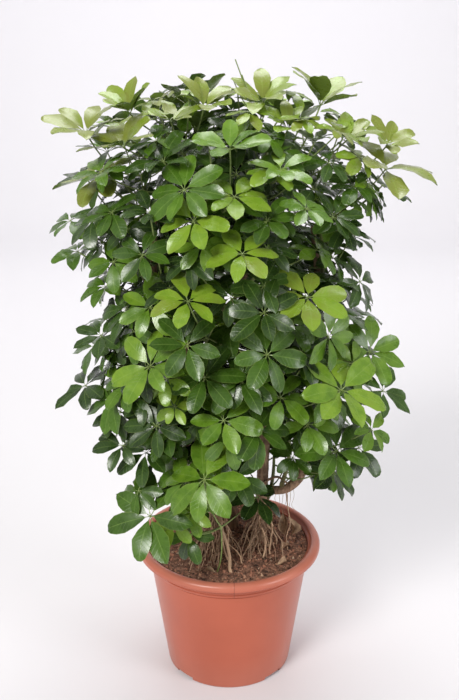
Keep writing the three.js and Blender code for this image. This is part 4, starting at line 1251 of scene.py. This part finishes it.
# ---------------------------------------------------------------- what lies on the soil
# Loose peat crumbs, reddish bark chips and a few pale flecks, half sunk into the soil, and dried,
# curled leaflets, some of which lean on each other at the right.
CRUMB_DENSITY = 52000.0
CRUMB_SIZES = (0.0012, 0.0052)
CRUMB_SHAPES = [(1.0, 0.8, 0.6), (1.6, 0.7, 0.4), (1.0, 1.0, 0.8)]
CRUMB_SKEW = 3.0
CRUMB_SEED = 7
CRUMB_PICK_SEED = 3
CRUMB_SPIN_SEED = 5
CRUMB_SHADE_SEED = 11
CRUMB_FIELD = 0.143
CRUMB_FIELD_RINGS = 20
CRUMB_FIELD_COLUMNS = 60
CRUMB_COLOURS = [
    (0.00, (0.040, 0.020, 0.013)), (0.40, (0.190, 0.088, 0.054)), (0.72, (0.440, 0.195, 0.120)),
    (0.97, (0.480, 0.280, 0.175)), (1.00, (0.540, 0.430, 0.320))]
# Each dried leaflet: its place in mm, its length, its heading, its slope down and its roll, in degrees.
DRIED_LEAFLETS = [
    ((102, 22, 292), 44, -80, 62, 20), ((112, 14, 288), 38, -70, 66, -35), ((92, 26, 262), 34, 200, 35, 60),
    ((118, -30, 249), 26, -150, 4, 15), ((-20, -118, 246), 24, 160, 4, -10), ((84, -92, 245), 24, 30, 3, 12),
    ((-96, -58, 247), 26, 80, 3, 170), ((70, 60, 249), 28, 120, 5, 25)]
DRIED_CURL = 2.2
DRIED_SMOOTH_BELOW = 60
DRIED_COLOURS = [(0.3, (0.150, 0.080, 0.045)), (0.7, (0.560, 0.370, 0.230))]

crumb = Finish("soil_crumb")
pitted = crumb.cloud(700.0, 2.0)
pits = crumb.math("MULTIPLY", crumb.math("SUBTRACT", pitted, 0.5), 0.25)
tint = crumb.ramp(crumb.math("ADD", crumb.stored("shade"), pits), CRUMB_COLOURS)
crumb.put(tint, crumb.skin["Base Color"])
crumb.put(0.9, crumb.skin["Roughness"])
crumb.bump(pitted, 0.5, 0.0006)

chance = random.Random("crumbs")
crumb_shapes = bpy.data.collections.new("crumb_shapes")
for i, stretch in enumerate(CRUMB_SHAPES):
    corners = []
    for axis in range(3):
        for sign in (-1, 1):
            corner = Vector((0, 0, 0))
            corner[axis] = sign * stretch[axis]
            corners.append(corner + Vector([chance.uniform(-0.25, 0.25) for _ in range(3)]))
    sides = [(1, 3, 5), (3, 0, 5), (0, 2, 5), (2, 1, 5), (3, 1, 4), (0, 3, 4), (2, 0, 4), (1, 2, 4)]
    mesh = bpy.data.meshes.new(f"crumb_{i}")
    mesh.from_pydata(corners, [], sides)
    crumb_shapes.objects.link(bpy.data.objects.new(f"crumb_{i}", mesh))

field = soil_disc(CRUMB_FIELD, CRUMB_FIELD_RINGS, CRUMB_FIELD_COLUMNS)
crumbs = add_mesh("soil_crumbs", *field, crumb.material)

crumb_growth = Growth("crumbs_on_soil", {
    "Shapes": "Collection", "Crumb": "Material", "Density": "Float", "Smallest": "Float", "Largest": "Float",
    "Seed": "Int"})
given = crumb_growth.given
strewn = crumb_growth.add("GeometryNodeDistributePointsOnFaces", {
    "Mesh": given["Geometry"], "Density": given["Density"], "Seed": given["Seed"]})
shapes = crumb_growth.add("GeometryNodeCollectionInfo", {
    "Collection": given["Shapes"], "Separate Children": True, "Reset Children": True})
share = crumb_growth.add("FunctionNodeRandomValue", {
    2: 0.0, 3: 1.0, "Seed": given["Seed"]}, data_type="FLOAT")
size = crumb_growth.add("ShaderNodeMapRange", {
    "Value": crumb_growth.math("POWER", share.outputs[1], CRUMB_SKEW),
    "To Min": given["Smallest"], "To Max": given["Largest"]}).outputs[0]
pick = crumb_growth.add("FunctionNodeRandomValue", {
    4: 0, 5: len(CRUMB_SHAPES) - 1, "Seed": CRUMB_PICK_SEED}, data_type="INT")
spin = crumb_growth.add("FunctionNodeRandomValue", {
    "Min": (0.0, 0.0, 0.0), "Max": (2 * math.pi,) * 3, "Seed": CRUMB_SPIN_SEED}, data_type="FLOAT_VECTOR")
laid = crumb_growth.add("GeometryNodeInstanceOnPoints", {
    "Points": strewn.outputs["Points"], "Instance": shapes.outputs[0], "Pick Instance": True,
    "Instance Index": pick.outputs[2], "Rotation": spin.outputs[0], "Scale": size}).outputs[0]
shade = crumb_growth.add("FunctionNodeRandomValue", {
    2: 0.0, 3: 1.0, "Seed": CRUMB_SHADE_SEED}, data_type="FLOAT")
laid = crumb_growth.change("GeometryNodeStoreNamedAttribute", laid, {
    "Name": "shade", "Value": shade.outputs[1]}, data_type="FLOAT", domain="INSTANCE")
laid = crumb_growth.change("GeometryNodeRealizeInstances", laid)
laid = crumb_growth.change("GeometryNodeSetMaterial", laid, {"Material": given["Crumb"]})
crumb_growth.put(laid, crumb_growth.result)
crumb_growth.grow(crumbs, {
    "Shapes": crumb_shapes, "Crumb": crumb.material, "Density": CRUMB_DENSITY,
    "Smallest": CRUMB_SIZES[0], "Largest": CRUMB_SIZES[1], "Seed": CRUMB_SEED})
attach(crumbs, "root")

dried = Finish("dried_leaflet")
crackle = dried.cloud(130.0, 4.0)
dried.put(dried.ramp(crackle, DRIED_COLOURS), dried.skin["Base Color"])
dried.put(0.7, dried.skin["Roughness"])
dried.bump(crackle, 0.6, 0.0008)

template = leaflet_object("dried_template", 0.22, 0.10, 0.5, -DRIED_CURL, 0.35, 0.1).data
dried_points, dried_faces = [], []
for where, length, heading, slope, roll in DRIED_LEAFLETS:
    pose = (Matrix.Translation(Vector(where) * MM) @ Matrix.Rotation(math.radians(heading), 4, "Z")
            @ Matrix.Rotation(math.radians(slope), 4, "Y") @ Matrix.Rotation(math.radians(roll), 4, "X")
            @ Matrix.Scale(length * MM, 4))
    start = len(dried_points)
    dried_points.extend(pose @ vertex.co for vertex in template.vertices)
    dried_faces.extend([start + v for v in polygon.vertices] for polygon in template.polygons)
fallen = add_mesh("dried_leaflets", dried_points, dried_faces, dried.material, DRIED_SMOOTH_BELOW)
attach(fallen, "root")
